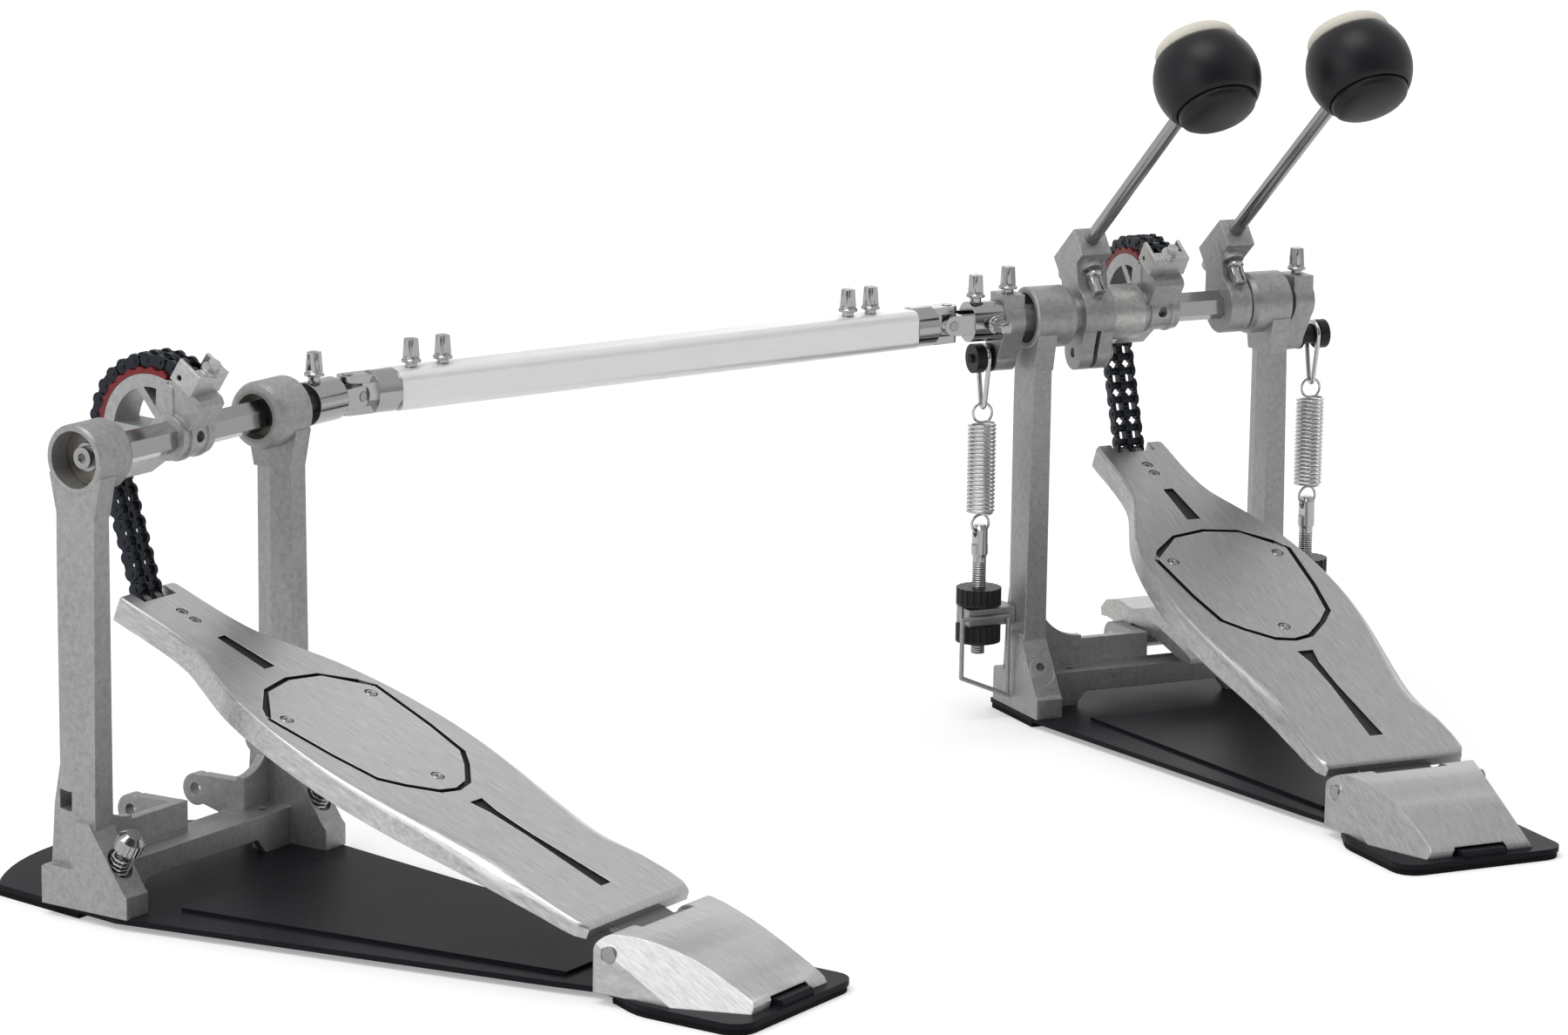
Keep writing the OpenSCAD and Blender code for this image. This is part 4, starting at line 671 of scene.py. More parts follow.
    @staticmethod
    def rod(radius: float, start: Sequence[float], end: Sequence[float], sides: int = 40) -> Thing:
        """A round rod between two points, in millimetres."""
        Shop.clear()
        run = Vector(end) - Vector(start)
        bpy.ops.mesh.primitive_cylinder_add(vertices=sides, radius=radius * MM, depth=run.length * MM,
                                            location=(0, 0, 0))
        rod = bpy.context.object
        turn = run.to_track_quat("Z", "Y").to_matrix().to_4x4()
        return Shop.seat(rod, Matrix.Translation((Vector(start) + Vector(end)) / 2 * MM) @ turn)

    @staticmethod
    def carve(obj: Thing, tools: Sequence[Thing]) -> None:
        """Subtracts each tool in turn, and removes it."""
        for tool in tools:
            Shop.modifier(obj, "BOOLEAN", operation="DIFFERENCE", solver="EXACT", object=tool)
            bpy.data.objects.remove(tool)

    @staticmethod
    def modifier(obj: Thing, kind: str, **settings: Any) -> None:
        """Adds a modifier with its settings, and applies it."""
        Shop.only(obj)
        bpy.ops.object.modifier_add(type=kind)
        added = obj.modifiers[-1]
        for key, value in settings.items():
            setattr(added, key, value)
        bpy.ops.object.modifier_apply(modifier=added.name)

    @staticmethod
    def join(parts: Sequence[Thing], name: str) -> Thing:
        """Joins parts into the first of them."""
        Shop.clear()
        for part in parts:
            part.select_set(True)
        bpy.context.view_layer.objects.active = parts[0]
        bpy.ops.object.join()
        parts[0].name = parts[0].data.name = name
        return parts[0]

    @staticmethod
    def dress(obj: Thing, material: Material, body: str | None, slot: str) -> Thing:
        """Gives a new piece its material and body, and reports it."""
        obj.data.materials.clear()
        obj.data.materials.append(material)
        if body:
            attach(obj, body)
        LOG.info("piece %s: %d faces", obj.name, len(obj.data.polygons))
        return obj


def made(kind: type, *values: Any, **settings: Any) -> Any:
    """A field whose finish is built when the set of finishes is."""
    return field(default_factory=lambda: kind(*values, **settings).build())


@dataclass
class Finishes:
    """Every finish of the pedal, made once and shared."""

    cast: Material = made(CastAlloy)
    cam: Material = made(CastAlloy, "cam_alloy", (0.43, 0.43, 0.43), 0.36, 0.03, 0.4)
    claw: Material = made(CastAlloy, "claw_alloy", (0.52, 0.52, 0.51), 0.30, 0.03, 0.6)
    steel: Material = made(TurnedSteel, "turned_steel", (0.36, 0.36, 0.36), 0.13)
    wire: Material = made(TurnedSteel, "plated_wire", (0.66, 0.66, 0.66), 0.14, 0.6)
    chrome: Material = made(TurnedSteel, "chrome_plate", (0.44, 0.44, 0.45), 0.09, 1.0)
    tube: Material = made(TurnedSteel, "drawn_tube", (0.96, 0.96, 0.96), 0.30, 0.03, 0.5)
    shield: Material = made(TurnedSteel, "bearing_shield", (0.24, 0.22, 0.19), 0.34, 2.0)
    thread: Material = made(ThreadedRod)
    leaf: Material = made(TurnedSteel, "dark_leaf", (0.20, 0.20, 0.205), 0.32, 3.0)
    anchor: Material = made(CastAlloy, "anchor_block", (0.22, 0.22, 0.23), 0.42, 0.04, 0.4)
    sheet: Material = made(BlackCoat, "black_sheet", (0.013, 0.014, 0.017), 0.36, sheen=0.06)
    rubber: Material = made(BlackCoat, "black_rubber", (0.008, 0.008, 0.008), 0.70, 900, 0.05, sheen=0.12)
    knob: Material = made(BlackCoat, "black_knob", (0.012, 0.012, 0.013), 0.38, 1100, 0.03)
    ball: Material = made(BlackCoat, "beater_ball", (0.010, 0.0105, 0.013), 0.36, 1000, 0.02, 0.6, sheen=0.32)
    chain: Material = made(OiledChain)
    strip: Material = made(RedStrip)
    felt: Material = made(PressedFelt)
    boards: dict[Pedal, Material] = field(default_factory=lambda: {
        p: BrushedPlate(p).build() for p in Pedal})
    plates: dict[Pedal, Material] = field(default_factory=lambda: {
        p: BrushedPlate(p, "brushed_shield", (0.58, 0.58, 0.58), False).build() for p in Pedal})
    heels: dict[Pedal, Material] = field(default_factory=lambda: {p: BrushedHeel(p).build() for p in Pedal})

    def for_node(self, node: str) -> Material:
        """The finish of a solid, by the words of its name."""
        pedal = Pedal.REMOTE if node.startswith("remote") else Pedal.MAIN
        exact = {"baseplates": self.sheet, "rubber_pads": self.rubber, "bearings": self.shield,
                 "heel_blocks": self.heels[Pedal.REMOTE], "eye_bolts": self.thread, "spring_nuts": self.knob,
                 "spur_springs": self.wire, "hoop_clamp": self.claw, "drive_tube": self.tube,
                 "left_sleeve": self.claw, "spring_lugs": self.cast}
        if node in exact:
            return exact[node]
        words = (("footboard", self.boards[pedal]), ("foot_plate", self.plates[pedal]),
                 ("hinge_leaf", self.leaf), ("chain_anchor", self.anchor), ("chain_clamp", self.claw),
                 ("cam_strip", self.strip), ("cam", self.cam), ("chain", self.chain),
                 ("beater_holder", self.cast), ("rocker", self.cast), ("roller", self.knob),
                 ("beater_head", self.ball), ("beater_felt", self.felt), ("beater_shaft", self.steel),
                 ("yoke", self.chrome), ("spider", self.steel), ("spur", self.chrome), ("spring", self.wire),
                 ("link", self.wire), ("axle", self.steel), ("frame", self.cast))
        return next(finish for word, finish in words if word in node)

    def dress_solids(self) -> None:
        """Gives every solid its finish."""
        for name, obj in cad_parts.items():
            obj.data.materials.clear()
            obj.data.materials.append(self.for_node(name))
            LOG.info("solid %s: %s", name, obj.data.materials[0].name)


@dataclass
class KeyScrews:
    """Square-headed key screws of the joints, rockers and beater clamps."""

    head: float = 5.0
    height: float = 11.6
    flange: float = 8.2
    twist: float = 20.0

    def template(self) -> Thing:
        """One screw that stands on the origin along Z."""
        r, h = self.flange / 2, self.height
        collar = Shop.lathe("screw_collar", [(0, 0.05), (2.45, 0.05), (2.45, 1.7), (r - 0.3, 1.95), (r, 2.3),
                                             (r, 2.9), (r - 0.5, 3.4), (r - 0.9, 3.6), (r - 1.2, 4.3),
                                             (0, 4.6)], 32)
        Shop.clear()
        bpy.ops.mesh.primitive_cube_add(size=self.head * MM, location=(0, 0, (4 + (h - 4) / 2) * MM))
        head = bpy.context.object
        head.scale = (1, 1, (h - 4) / self.head)
        Shop.seat(head, Matrix.Identity(4))
        top = max(v.co.z for v in head.data.vertices)
        Shop.pick(head, [v.index for v in head.data.vertices if v.co.z > top - 1e-5])
        with editing():
            bpy.ops.transform.resize(value=(0.88, 0.88, 1))
        Shop.modifier(head, "BEVEL", width=0.55 * MM, segments=3, limit_method="ANGLE")
        screw = Shop.join([collar, head], "key_screw")
        Shop.only(screw)
        bpy.ops.object.shade_smooth_by_angle(angle=math.radians(40))
        return screw

    def places(self) -> Iterable[tuple[str, str, Matrix]]:
        """Each screw's name, body and place."""
        up = STANCE.axle_height
        turn = Matrix.Rotation(math.pi / 2, 4, "X")
        for side, body in ((Side.LEFT, "left_beater"), (Side.RIGHT, "main_axle")):
            yield f"{side.name.lower()}_rocker_screw", body, move(side.value * 71.6, 0, up + 11.5)
            x, aside = BEATER_X[side], 0 if side is Side.LEFT else -1.9
            place = STANCE.beater(x) @ move(aside, -11.5, 14.5)
            yield f"{side.name.lower()}_holder_screw", body, place @ turn
        yield "left_yoke_screw", "left_beater", move(-87.1, 0, up + 8.75)
        yield "left_yoke_side_screw", "left_beater", move(-82.1, -8.75, up) @ turn
        yield "remote_yoke_screw", "remote_axle", STANCE.pedal(Pedal.REMOTE) @ move(80.1, 0, up + 8.75)
        shaft, length = STANCE.shaft()
        for i, x in enumerate((30, 45, length - 53, length - 41)):
            yield f"tube_screw_{i + 1}", "drive_shaft", shaft @ move(x, 0, 8.25)

    def build(self, finishes: Finishes) -> None:
        """Copies the screw to every place."""
        screw = self.template()
        for name, body, place in self.places():
            turned = place @ Matrix.Rotation(math.radians(self.twist), 4, "Z")
            Shop.dress(Shop.copy(screw, name, turned), finishes.chrome, body, "chrome")
        bpy.data.objects.remove(screw)


@dataclass
class Springs:
    """Tension springs: one round wire each, wound and hooked at both ends."""

    coil_radius: float = 5.725
    wire: float = 1.25
    turns: int = 22
    pitch: float = 1.8
    ring: float = 4.3
    rise: float = 0.55
    steps: int = 28

    def hook(self, z: float, up: int) -> list[Vector]:
        """The hook above or below the coil's end, from the coil outwards."""
        r, points = self.coil_radius, []
        for t in (0.15, 0.3, 0.45, 0.6, 0.75):
            points.append(Vector((r * (1 - t) * math.cos(math.radians(70 * t)),
                                  r * 0.62 * math.sin(math.pi * t) * (1 - 0.3 * t), z + up * 0.35 * t)))
        for i in range(55):
            a = math.radians(i * 6)
            points.append(Vector((-self.ring * math.sin(a), 0.9 - 1.8 * i * 6 / 360,
                                  z + up * (self.ring * (1 - math.cos(a)) + self.rise))))
        return points

    def path(self, top: float) -> list[Vector]:
        """The wire's middle line from the upper hook to the lower one, in millimetres."""
        low = top - self.turns * self.pitch
        coil = []
        for i in range(self.steps * self.turns + 1):
            a = math.tau * i / self.steps
            coil.append(Vector((self.coil_radius * math.cos(a), -self.coil_radius * math.sin(a),
                                top - self.pitch * i / self.steps)))
        lower = [Vector((p.x, -p.y, p.z)) for p in self.hook(low, -1)]
        return list(reversed(self.hook(top, 1))) + coil + lower

    def build(self, side: Side, finishes: Finishes) -> Thing:
        """Winds one spring in the place of its solid."""
        name = f"{side.name.lower()}_spring"
        low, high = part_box(name)
        top = high.z / MM - self.wire / 2 - 2 * self.ring - self.rise
        points = self.path(top)
        Shop.clear()
        bpy.ops.curve.primitive_nurbs_path_add()
        curve = bpy.context.object
        curve.data.splines.clear()
        spline = curve.data.splines.new("POLY")
        spline.points.add(len(points) - 1)
        for target, point in zip(spline.points, points):
            target.co = (*(point * MM), 1)
        curve.data.bevel_depth = self.wire / 2 * MM
        curve.data.bevel_resolution = 2
        curve.data.use_fill_caps = True
        bpy.ops.object.convert(target="MESH")
        coil = bpy.context.object
        coil.name = coil.data.name = f"{name}_wire"
        centre = Vector(((low.x + high.x) / 2, (low.y + high.y) / 2, 0))
        Shop.seat(coil, Matrix.Translation(centre))
        Shop.only(coil)
        bpy.ops.object.shade_smooth_by_angle(angle=math.radians(60))
        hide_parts(name)
        Shop.dress(coil, finishes.wire, None, "spring")
        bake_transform(coil)
        return coil


@dataclass
class Beater:
    """One beater's round head and its felt."""

    side: Side
    x: float
    reach: float = 150.0
    ball: float = 45.0
    flat: float = 13.2
    back: float = 13.6
    felt: float = 35.6
    felt_thickness: float = 7.4

    @property
    def body(self) -> str:
        """The body that carries this beater."""
        return "left_beater" if self.side is Side.LEFT else "main_axle"

    def place(self) -> Matrix:
        """The ball's centre, with Z towards the felt."""
        return STANCE.beater(self.x) @ move(0, 0, self.reach) @ Matrix.Rotation(-math.pi / 2, 4, "X")

    def head(self, finishes: Finishes) -> Thing:
        """The moulded ball with its raised back disc and its neck."""
        r, b = self.ball / 2, self.back
        low, high = (math.degrees(math.asin(v / r)) for v in (b, self.flat))
        arc = [(r * math.cos(math.radians(a)), r * math.sin(math.radians(a)))
               for a in [-low + i * (low + high) / 30 for i in range(31)]]
        profile = [(0, -b - 6.2), (6, -b - 6.05), (11, -b - 5.3), (14.2, -b - 4.2), (15.8, -b - 3.0),
                   (16.5, -b - 1.6), (16.6, -b - 0.2), (16.2, -b + 0.9), (16.7, -b + 0.7),
                   (17.3, -b + 0.1)] + arc[1:-1]
        profile += [(arc[-1][0] - 0.1, self.flat - 0.4), (arc[-1][0] - 0.8, self.flat), (0, self.flat)]
        ball = Shop.lathe(f"{self.side.name.lower()}_head_ball", profile, 72)
        neck = Shop.lathe("neck", [(3.25, -r - 2), (5.1, -r - 2), (5.5, -r - 1.6), (5.7, -r + 2.5),
                                   (7.2, -r + 5), (3.25, -r + 5)], 32)
        Shop.seat(neck, Matrix.Rotation(math.pi / 2, 4, "X"))
        whole = Shop.join([ball, neck], ball.name)
        Shop.seat(whole, self.place())
        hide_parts(f"{self.side.name.lower()}_beater_head")
        return Shop.dress(whole, finishes.ball, self.body, "ball")

    def pad(self, finishes: Finishes) -> Thing:
        """The felt disc, rounded at its striking edge."""
        r, t, z = self.felt / 2, self.felt_thickness, self.flat + 0.02
        profile = [(0, z), (r - 1.4, z), (r - 0.5, z + 0.6), (r, z + 1.9), (r - 0.1, z + t * 0.42),
                   (r - 0.8, z + t * 0.62), (r - 2.2, z + t * 0.80), (r - 5, z + t * 0.93),
                   (r - 9, z + t * 0.985), (0, z + t)]
        pad = Shop.lathe(f"{self.side.name.lower()}_felt_disc", profile, 72)
        Shop.seat(pad, self.place())
        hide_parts(f"{self.side.name.lower()}_beater_felt")
        return Shop.dress(pad, finishes.felt, self.body, "felt")


@dataclass
class Rivets:
    """Small screws that show on the footboards."""

    shield: tuple[tuple[float, float], ...] = ((-25.5, 155), (25.5, 155), (0, 100))

    def build(self, pedal: Pedal, finishes: Finishes) -> None:
        """Sets the screws of one footboard."""
        board = STANCE.board(pedal)
        domed = [(0, -0.8), (2.25, -0.8), (2.3, -0.2), (2.0, 0.05), (1.2, 0.16), (1.0, -0.35), (0, -0.4)]
        sunk = [(0, -3), (1.6, -3), (2.2, -0.5), (2.0, -0.3), (1.1, -0.3), (0.9, -1.1), (0, -1.2)]
        for kind, profile, spots in (("plate", domed, self.shield),
                                     ("toe", sunk, [(0, y) for y in TOE_SCREWS])):
            head = Shop.lathe(f"{kind}_screw", profile, 24)
            for i, (x, y) in enumerate(spots):
                screw = Shop.copy(head, f"{pedal.value}_{kind}_screw_{i + 1}", board @ move(x, y, 0))
                Shop.dress(screw, finishes.steel, f"{pedal.value}_footboard", "steel")
            bpy.data.objects.remove(head)


@dataclass
class HeelBlocks:
    """Machined heel blocks with a crowned top, side bevels and the ends of their hinge pins."""

    half: float = 35.0
    rear: float = -219.7
    front: float = -282.0
    floor: float = 4.6
    pin: float = 3.0
    leaf: float = 16.6
    barrel: float = 6.6

    def block(self) -> Thing:
        """One block in its pedal's frame."""
        y, z, w, r = -STANCE.hinge_y, STANCE.hinge_z, self.leaf, self.barrel
        turn = [(y + r * math.cos(math.radians(a)), z + 6.9 * math.sin(math.radians(a)))
                for a in range(10, 100, 16)]
        crown = [(-233, 26.0), (-240, 24.9), (-248, 23.0), (-256, 20.5), (-264, 17.2), (-271, 13.8),
                 (-277, 10.9), (-280.6, 8.9), (self.front, 7.2), (self.front, self.floor)]
        side = [(self.rear, self.floor)] + turn + crown
        block = Shop.prism("heel_block", [(-self.half, p[0], p[1]) for p in side], (2 * self.half, 0, 0))
        for s in (-1, 1):
            Shop.slice(block, (s * 34.2, -226, 21.2), (s * 0.80, -0.30, 0.55))
            Shop.slice(block, (s * 33.2, -282, 8.0), (s * 0.62, -0.30, 0.46))
            Shop.slice(block, (s * 35.0, -262, 0), (s * 1.0, -0.13, 0.0))
            Shop.slice(block, (s * 30.0, -282, 0), (s * 0.72, -0.70, 0.1))
        tools = [Shop.rod(r, (-w, y, z), (w, y, z)), Shop.box((-w, y, z - r), (w, y + 20, z + 30)),
                 Shop.prism("leaf_way", [(-w, y - 4.4, z + 5), (-w, y + 4, z + 12), (-w, y + 20, z + 12),
                                         (-w, y + 20, z - 2), (-w, y, z)], (2 * w, 0, 0)),
                 Shop.prism("front_way", [(-13.6, -290, 0), (-13.6, -290, 3), (-11.4, -290, 8.2),
                                          (11.4, -290, 8.2), (13.6, -290, 3), (13.6, -290, 0)], (0, 19, 0)),
                 Shop.rod(self.pin + 0.25, (-40, y, z), (-self.half + 0.5, y, z)),
                 Shop.rod(self.pin + 0.25, (self.half - 0.5, y, z), (40, y, z))]
        Shop.carve(block, tools)
        Shop.modifier(block, "BEVEL", width=0.55 * MM, segments=2, limit_method="ANGLE",
                      angle_limit=math.radians(24))
        Shop.only(block)
        bpy.ops.object.shade_smooth_by_angle(angle=math.radians(28))
        Shop.modifier(block, "WEIGHTED_NORMAL", keep_sharp=True, weight=80)
        return block

    def build(self, finishes: Finishes) -> None:
        """Sets both blocks and their pins in the place of the solid ones."""
        block, parts = self.block(), []
        y, z = -STANCE.hinge_y, STANCE.hinge_z
        for pedal in Pedal:
            here = Shop.copy(block, f"{pedal.value}_heel", STANCE.pedal(pedal))
            here.data.materials.clear()
            here.data.materials.append(finishes.heels[pedal])
            pin = Shop.rod(self.pin, (-self.half + 0.2, y, z), (self.half - 0.2, y, z))
            Shop.seat(pin, STANCE.pedal(pedal))
            pin.data.materials.append(finishes.steel)
            parts += [here, pin]
        bpy.data.objects.remove(block)
        whole = Shop.join(parts, "heel_blocks_dressed")
        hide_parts("heel_blocks")
        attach(whole, "frames")
        LOG.info("piece %s: %d faces", whole.name, len(whole.data.polygons))


@dataclass
class Footboards:
    """Footboards with a chamfered heel edge, rounded flanks that widen into wings, and black slots: a black
    inlay on their floors, and painted shade on their walls.
    """

    length: float = 251.0
    stations: tuple[tuple[float, float], ...] = (
        (0, 31.5), (4, 34), (22, 34.6), (48, 34.4), (70, 36.6), (95, 40), (118, 41.5), (140, 40.4),
        (160, 37.4), (178, 32.6), (194, 25.4), (208, 19.2), (222, 17), (236, 16.6), (249.8, 16.5),
        (251, 15.3))
    flank: tuple[tuple[float, float], ...] = (
        (0, 1.7), (14, 1.7), (24, 2.6), (31, 4.6), (38, 6.9), (46, 7.6), (56, 6.9), (75, 4.9), (100, 2.9),
        (125, 1.6), (150, 1.1), (251, 1.0))
    depth: tuple[tuple[float, float], ...] = ((0, 5.4), (20, 6.4), (45, 8.6), (80, 10), (251, 10))
    wall: float = 2.6
    plate: float = 4.0

    @staticmethod
    def read(table: Sequence[tuple[float, float]], y: float) -> float:
        """A value read off a table, straight between its rows."""
        for (y0, v0), (y1, v1) in zip(table, table[1:]):
            if y <= y1:
                t = max(0.0, (y - y0) / (y1 - y0))
                return v0 + (v1 - v0) * t
        return table[-1][1]

    def half(self, y: float) -> float:
        """Half the width at a place along the board, by the same curve as the solid's."""
        p = self.stations
        i = next(k for k in range(len(p) - 1) if y <= p[k + 1][0] + 1e-9)
        if i == 0 or i >= len(p) - 2:
            return self.read(p, y)
        a, b, c, d = p[i - 1], p[i], p[i + 1], p[i + 2]
        t, span = (y - b[0]) / (c[0] - b[0]), c[0] - b[0]
        m = (c[1] - a[1]) / (c[0] - a[0]) * span
        n = (d[1] - b[1]) / (d[0] - b[0]) * span
        return ((2 * t ** 3 - 3 * t * t + 1) * b[1] + (t ** 3 - 2 * t * t + t) * m
                + (3 * t * t - 2 * t ** 3) * c[1] + (t ** 3 - t * t) * n)

    def rings(self) -> list[list[tuple[float, float, float]]]:
        """Outlines from the top face, over the flank and round the skirt, to its inner floor."""
        ys = [0, 2, 4, 9, 14, 19, 24, 28, 31, 34, 38, 42, 46, 51, 56, 63, 70, 78, 87, 95, 103, 111, 118, 125,
              133, 140, 147, 154, 160, 166, 172, 178, 183, 188, 194, 199, 204, 208, 213, 218, 224, 230, 236,
              243, 249.8, 251]
        rings: list[list[tuple[float, float, float]]] = []
        for share, drop in ((1.0, 0.0), (0.55, 0.16), (0.22, 0.46), (0.0, 1.0)):
            rings.append(self.outline(ys, lambda y, s=share: self.read(self.flank, y) * s,
                                      2.9 * share, 1.0 * share,
                                      lambda y, d=drop: -d * (0.9 + 0.52 * self.read(self.flank, y))))
        rings.append(self.outline(ys, lambda y: -0.4, 0.0, 0.0, lambda y: -self.read(self.depth, y)))
        rings.append(self.outline(ys, lambda y: self.wall, 3.0, 3.0, lambda y: -self.read(self.depth, y)))
        rings.append(self.outline(ys, lambda y: self.wall, 3.0, 3.0, lambda y: -self.plate))
        return rings

    def outline(self, ys: Sequence[float], inset: Any, heel: float, toe: float, level: Any
                ) -> list[tuple[float, float, float]]:
        """One outline of the board.

        Args:
            ys: Stations along the board.
            inset: How far the outline lies inside the plan, by station.
            heel: How far it keeps from the heel edge.
            toe: How far it keeps from the toe edge.
            level: Its height, by station.

        Returns:
            The points, up the right side and down the left one.
        """
        right = []
        for y in ys:
            pull = heel * max(0.0, 1 - y / 14) - toe * max(0.0, 1 - (self.length - y) / 10)
            right.append((max(1.0, self.half(y) - inset(y)), y + pull, level(y)))
        return right + [(-x, y, z) for x, y, z in reversed(right)]

    def board(self) -> Thing:
        """One board in its own frame."""
        board = Shop.shell("footboard", self.rings())
        shield = [(0, 178), (16, 175), (28.5, 165), (33.5, 158), (30.5, 128), (27, 108), (20, 100), (9, 90.5),
                  (0, 88.5)]
        shield += [(-x, y) for x, y in reversed(shield[1:-1])]
        slots = (shield, [(-2.4, 211.5), (2.4, 211.5), (3.4, 186), (-3.0, 186)],
                 [(-3.8, 81), (3.8, 81), (1.9, 72), (1.5, 55), (3.2, 17), (-3.2, 17), (-1.5, 55), (-1.9, 72)])
        tools = [Shop.prism("slot", [(x, y, -floor) for x, y in slot], (0, 0, 5))
                 for slot, floor in zip(slots, (1.6, 1.2, 1.2))]
        tools += [Shop.box((-9.5, 243.5, -30), (9.5, 270, 10)), Shop.box((-17, -20, -20), (17, 14, -4.01))]
        tools += [Shop.rod(r, (0, y, z), (0, y, 5)) for r, z in ((1.7, -20), (2.5, -1.4)) for y in TOE_SCREWS]
        Shop.carve(board, tools)
        ribs = [Shop.box((-self.half(y) + 2.4, y - 1.1, -7.8),
                         (self.half(y) - 2.4, y + 1.1, -self.plate + 0.2)) for y in (60, 110, 160)]
        ribs += [Shop.box((x - 1, 40, -7.8), (x + 1, 200, -self.plate + 0.2)) for x in (-14, 14)]
        whole = Shop.join([board] + ribs, "footboard")
        Shop.only(whole)
        bpy.ops.object.shade_smooth_by_angle(angle=math.radians(30))
        Shop.modifier(whole, "WEIGHTED_NORMAL", keep_sharp=True, weight=100)
        return whole

    def build(self, finishes: Finishes) -> None:
        """Sets both boards in the place of the solid ones."""
        board = self.board()
        for pedal in Pedal:
            here = Shop.copy(board, f"{pedal.value}_board_dressed", STANCE.board(pedal))
            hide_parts(f"{pedal.value}_footboard")
            Shop.dress(here, finishes.boards[pedal], f"{pedal.value}_footboard", "board")
        bpy.data.objects.remove(board)


@dataclass
class FootPlugs:
    """Cast plugs that close the unused spur seats of the main frame, with their small holes."""

    x: float = 60.0
    y: float = -14.5
    z: float = 19.0
    lean: float = 30.0

    def build(self, finishes: Finishes) -> None:
        """Sets one plug in each front foot."""
        a = math.radians(self.lean)
        axis = Vector((0, -math.sin(a), math.cos(a)))
        slope = Vector((0, -24.4, 16.7)).normalized()
        for side in Side:
            centre = Vector((side.value * self.x, self.y, self.z))
            plug = Shop.rod(5.65, centre + axis * 1.85, centre + axis * 22)
            Shop.slice(plug, (0, -24.2, 14.62), slope)
            face = Vector((centre.x, -16.6, 14.6 + (24.2 - 16.6) * 24.4 / 16.7))
            Shop.carve(plug, [Shop.rod(2.1, face - slope * 3, face + slope * 6)])
            plug.name = plug.data.name = f"{side.name.lower()}_foot_plug"
            Shop.dress(plug, finishes.cast, "frames", "cast")


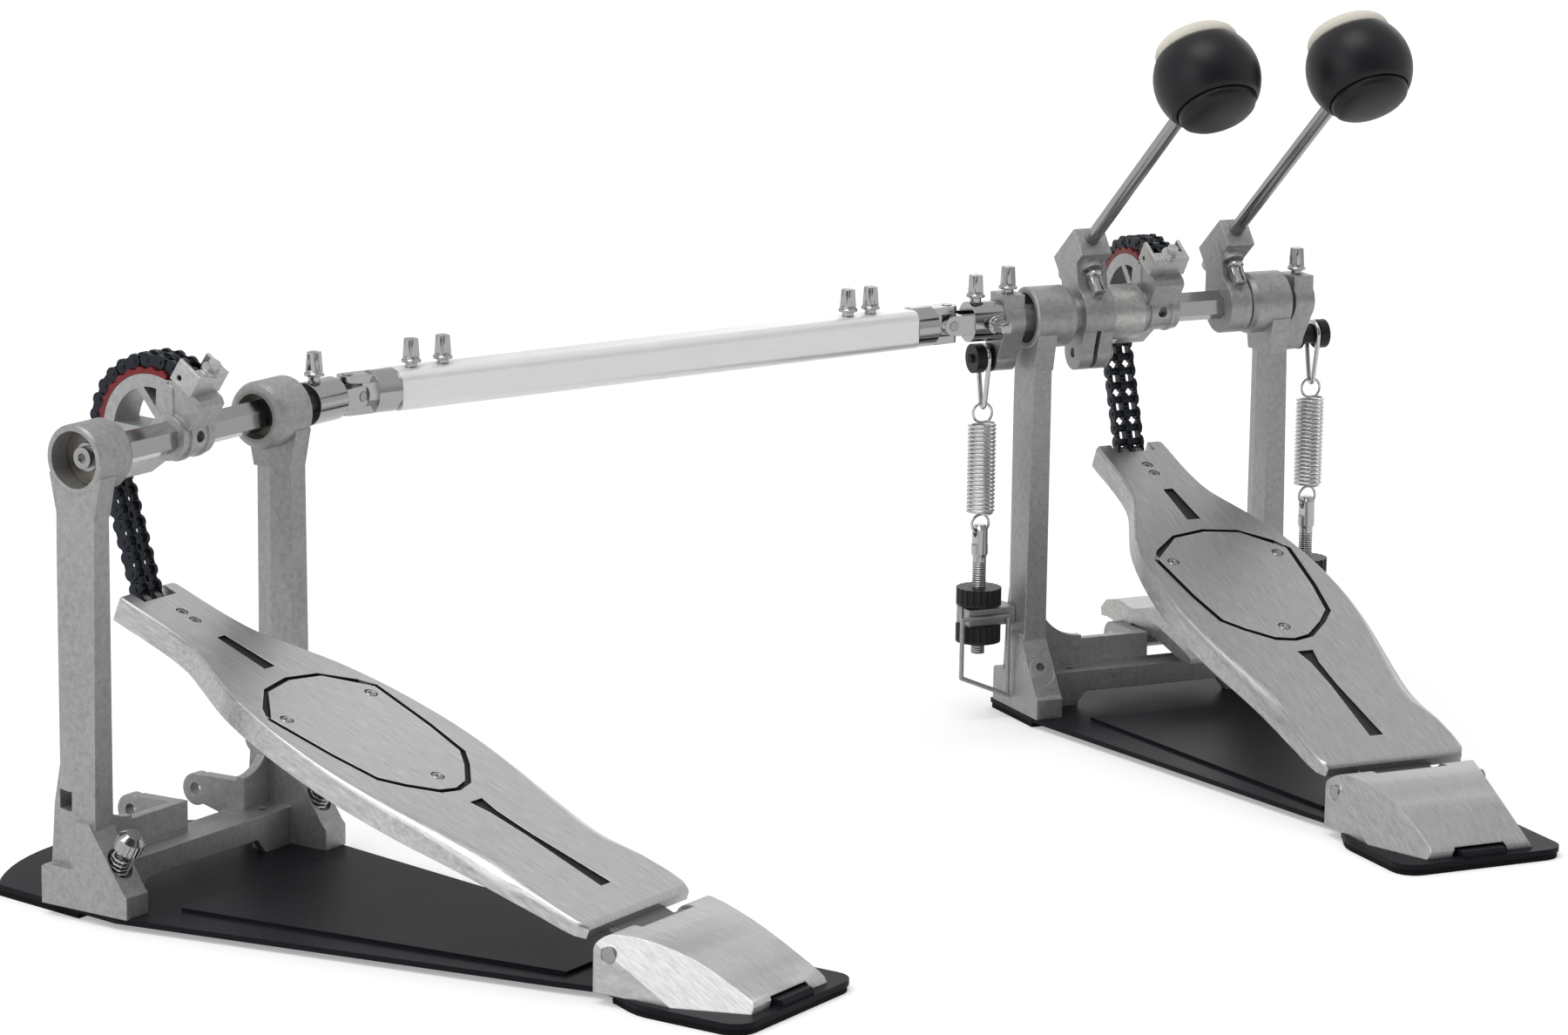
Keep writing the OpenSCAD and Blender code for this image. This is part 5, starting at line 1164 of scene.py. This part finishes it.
@dataclass
class Studio:
    """Pale floor, soft lamps and the camera."""

    position: tuple[float, float, float] = (-1109.55, -2025.42, 580.77)
    azimuth: float = 24.397
    drop: float = 12.101
    roll: float = 0.6654
    lens: float = 122.45
    shift: tuple[float, float] = (0.01924, -0.00642)

    def floor(self) -> None:
        """A wide pale floor that keeps the pedal's shadow."""
        Shop.clear()
        bpy.ops.mesh.primitive_plane_add(size=14, location=(0, 0, 0))
        floor = bpy.context.object
        floor.name = "studio_floor"
        g = Graph("studio_floor")
        path = g.tree.nodes.new("ShaderNodeLightPath")
        seen = Sock(g, path.outputs["Is Camera Ray"])
        mirrored = Sock(g, path.outputs["Is Glossy Ray"])
        g.surface(Base_Color=(0.80, 0.80, 0.80), Roughness=0.9, Specular_IOR_Level=0.1,
                  Emission_Color=(1, 1, 1), Emission_Strength=0.34 * seen + 0.12 * mirrored)
        floor.data.materials.append(g.material)

    def sky(self) -> None:
        """A white world for the eye, and a softer one for the light."""
        world = bpy.data.worlds.new("studio_world")
        bpy.context.scene.world = world
        world.use_nodes = True
        nodes, links = world.node_tree.nodes, world.node_tree.links
        back = nodes["Background"]
        path = nodes.new("ShaderNodeLightPath")
        mix = nodes.new("ShaderNodeMix")
        mix.data_type = "FLOAT"
        mix.inputs[3].default_value = 1.0
        links.new(path.outputs["Is Camera Ray"], mix.inputs[0])
        links.new(mix.outputs[0], back.inputs["Strength"])
        spot = nodes.new("ShaderNodeTexCoord")
        tone = nodes.new("ShaderNodeVectorMath")
        tone.operation = "DOT_PRODUCT"
        tone.inputs[1].default_value = Vector((-0.41, -0.89, -0.12)).normalized()
        links.new(spot.outputs["Generated"], tone.inputs[0])
        ramp = nodes.new("ShaderNodeMapRange")
        ramp.interpolation_type = "SMOOTHSTEP"
        for key, value in (("From Min", 0.10), ("From Max", 0.75), ("To Min", 0.66), ("To Max", 0.07)):
            ramp.inputs[key].default_value = value
        links.new(tone.outputs["Value"], ramp.inputs["Value"])
        links.new(ramp.outputs["Result"], mix.inputs[2])
        back.inputs["Color"].default_value = (1, 1, 1, 1)

    def lamp(self, name: str, place: tuple[float, float, float], size: tuple[float, float],
             watts: float) -> None:
        """A soft rectangular lamp that faces the pedal."""
        Shop.clear()
        bpy.ops.object.light_add(type="AREA", location=place)
        lamp = bpy.context.object
        lamp.name = lamp.data.name = name
        lamp.data.shape = "RECTANGLE"
        lamp.data.size, lamp.data.size_y = size
        lamp.data.energy = watts
        self.aim(lamp, place)

    def sun(self, name: str, place: tuple[float, float, float], strength: float, spread: float) -> None:
        """A far, wide and even light from the side of a place."""
        Shop.clear()
        bpy.ops.object.light_add(type="SUN", location=place)
        sun = bpy.context.object
        sun.name = sun.data.name = name
        sun.data.energy, sun.data.angle = strength, math.radians(spread)
        self.aim(sun, place)

    @staticmethod
    def aim(lamp: Thing, place: tuple[float, float, float]) -> None:
        """Turns a lamp towards the middle of the pedal."""
        towards = Vector((-0.25, -0.1, 0.12)) - Vector(place)
        lamp.rotation_euler = towards.to_track_quat("-Z", "Y").to_euler()

    def camera(self) -> None:
        """The camera at the picture's place, roll and framing."""
        a, e, w = (math.radians(v) for v in (self.azimuth, self.drop, self.roll))
        ahead = Vector((math.sin(a) * math.cos(e), math.cos(a) * math.cos(e), -math.sin(e)))
        right = Vector((math.cos(a), -math.sin(a), 0))
        up = right.cross(ahead)
        x = math.cos(w) * right + math.sin(w) * up
        y = math.cos(w) * up - math.sin(w) * right
        turn = Matrix((x, y, -ahead)).transposed().to_4x4()
        data = bpy.data.cameras.new("picture_camera")
        data.lens, data.sensor_width, data.sensor_fit = self.lens, 36.0, "HORIZONTAL"
        data.shift_x, data.shift_y = self.shift
        data.clip_end = 50
        camera = bpy.data.objects.new("picture_camera", data)
        bpy.context.scene.collection.objects.link(camera)
        camera.matrix_world = Matrix.Translation(Vector(self.position) * MM) @ turn
        bpy.context.scene.camera = camera

    def build(self) -> None:
        """Sets up the floor, the world, the lamps and the camera."""
        bpy.context.scene.view_settings.view_transform = "Standard"
        self.floor()
        self.sky()
        self.sun("overhead", (-1.2, -0.6, 3.2), 1.1, 40)
        self.lamp("left_wall", (-2.3, -1.0, 1.1), (1.8, 1.5), 12)
        self.lamp("back_wall", (1.9, 2.2, 1.2), (2.2, 1.0), 7)
        self.camera()


def main() -> None:
    """Builds the dressed pedal piece by piece."""
    logging.basicConfig(level=logging.INFO, format="%(name)s %(message)s")
    Shop.clear()
    finishes = Finishes()
    finishes.dress_solids()
    HeelBlocks().build(finishes)
    Footboards().build(finishes)
    FootPlugs().build(finishes)
    KeyScrews().build(finishes)
    for side in Side:
        Springs().build(side, finishes)
    for beater in (Beater(Side.LEFT, BEATER_X[Side.LEFT]), Beater(Side.RIGHT, BEATER_X[Side.RIGHT], 152.5)):
        beater.head(finishes)
        beater.pad(finishes)
    for pedal in Pedal:
        Rivets().build(pedal, finishes)
    Studio().build()
    Shop.clear()


if __name__ == "__main__":
    main()
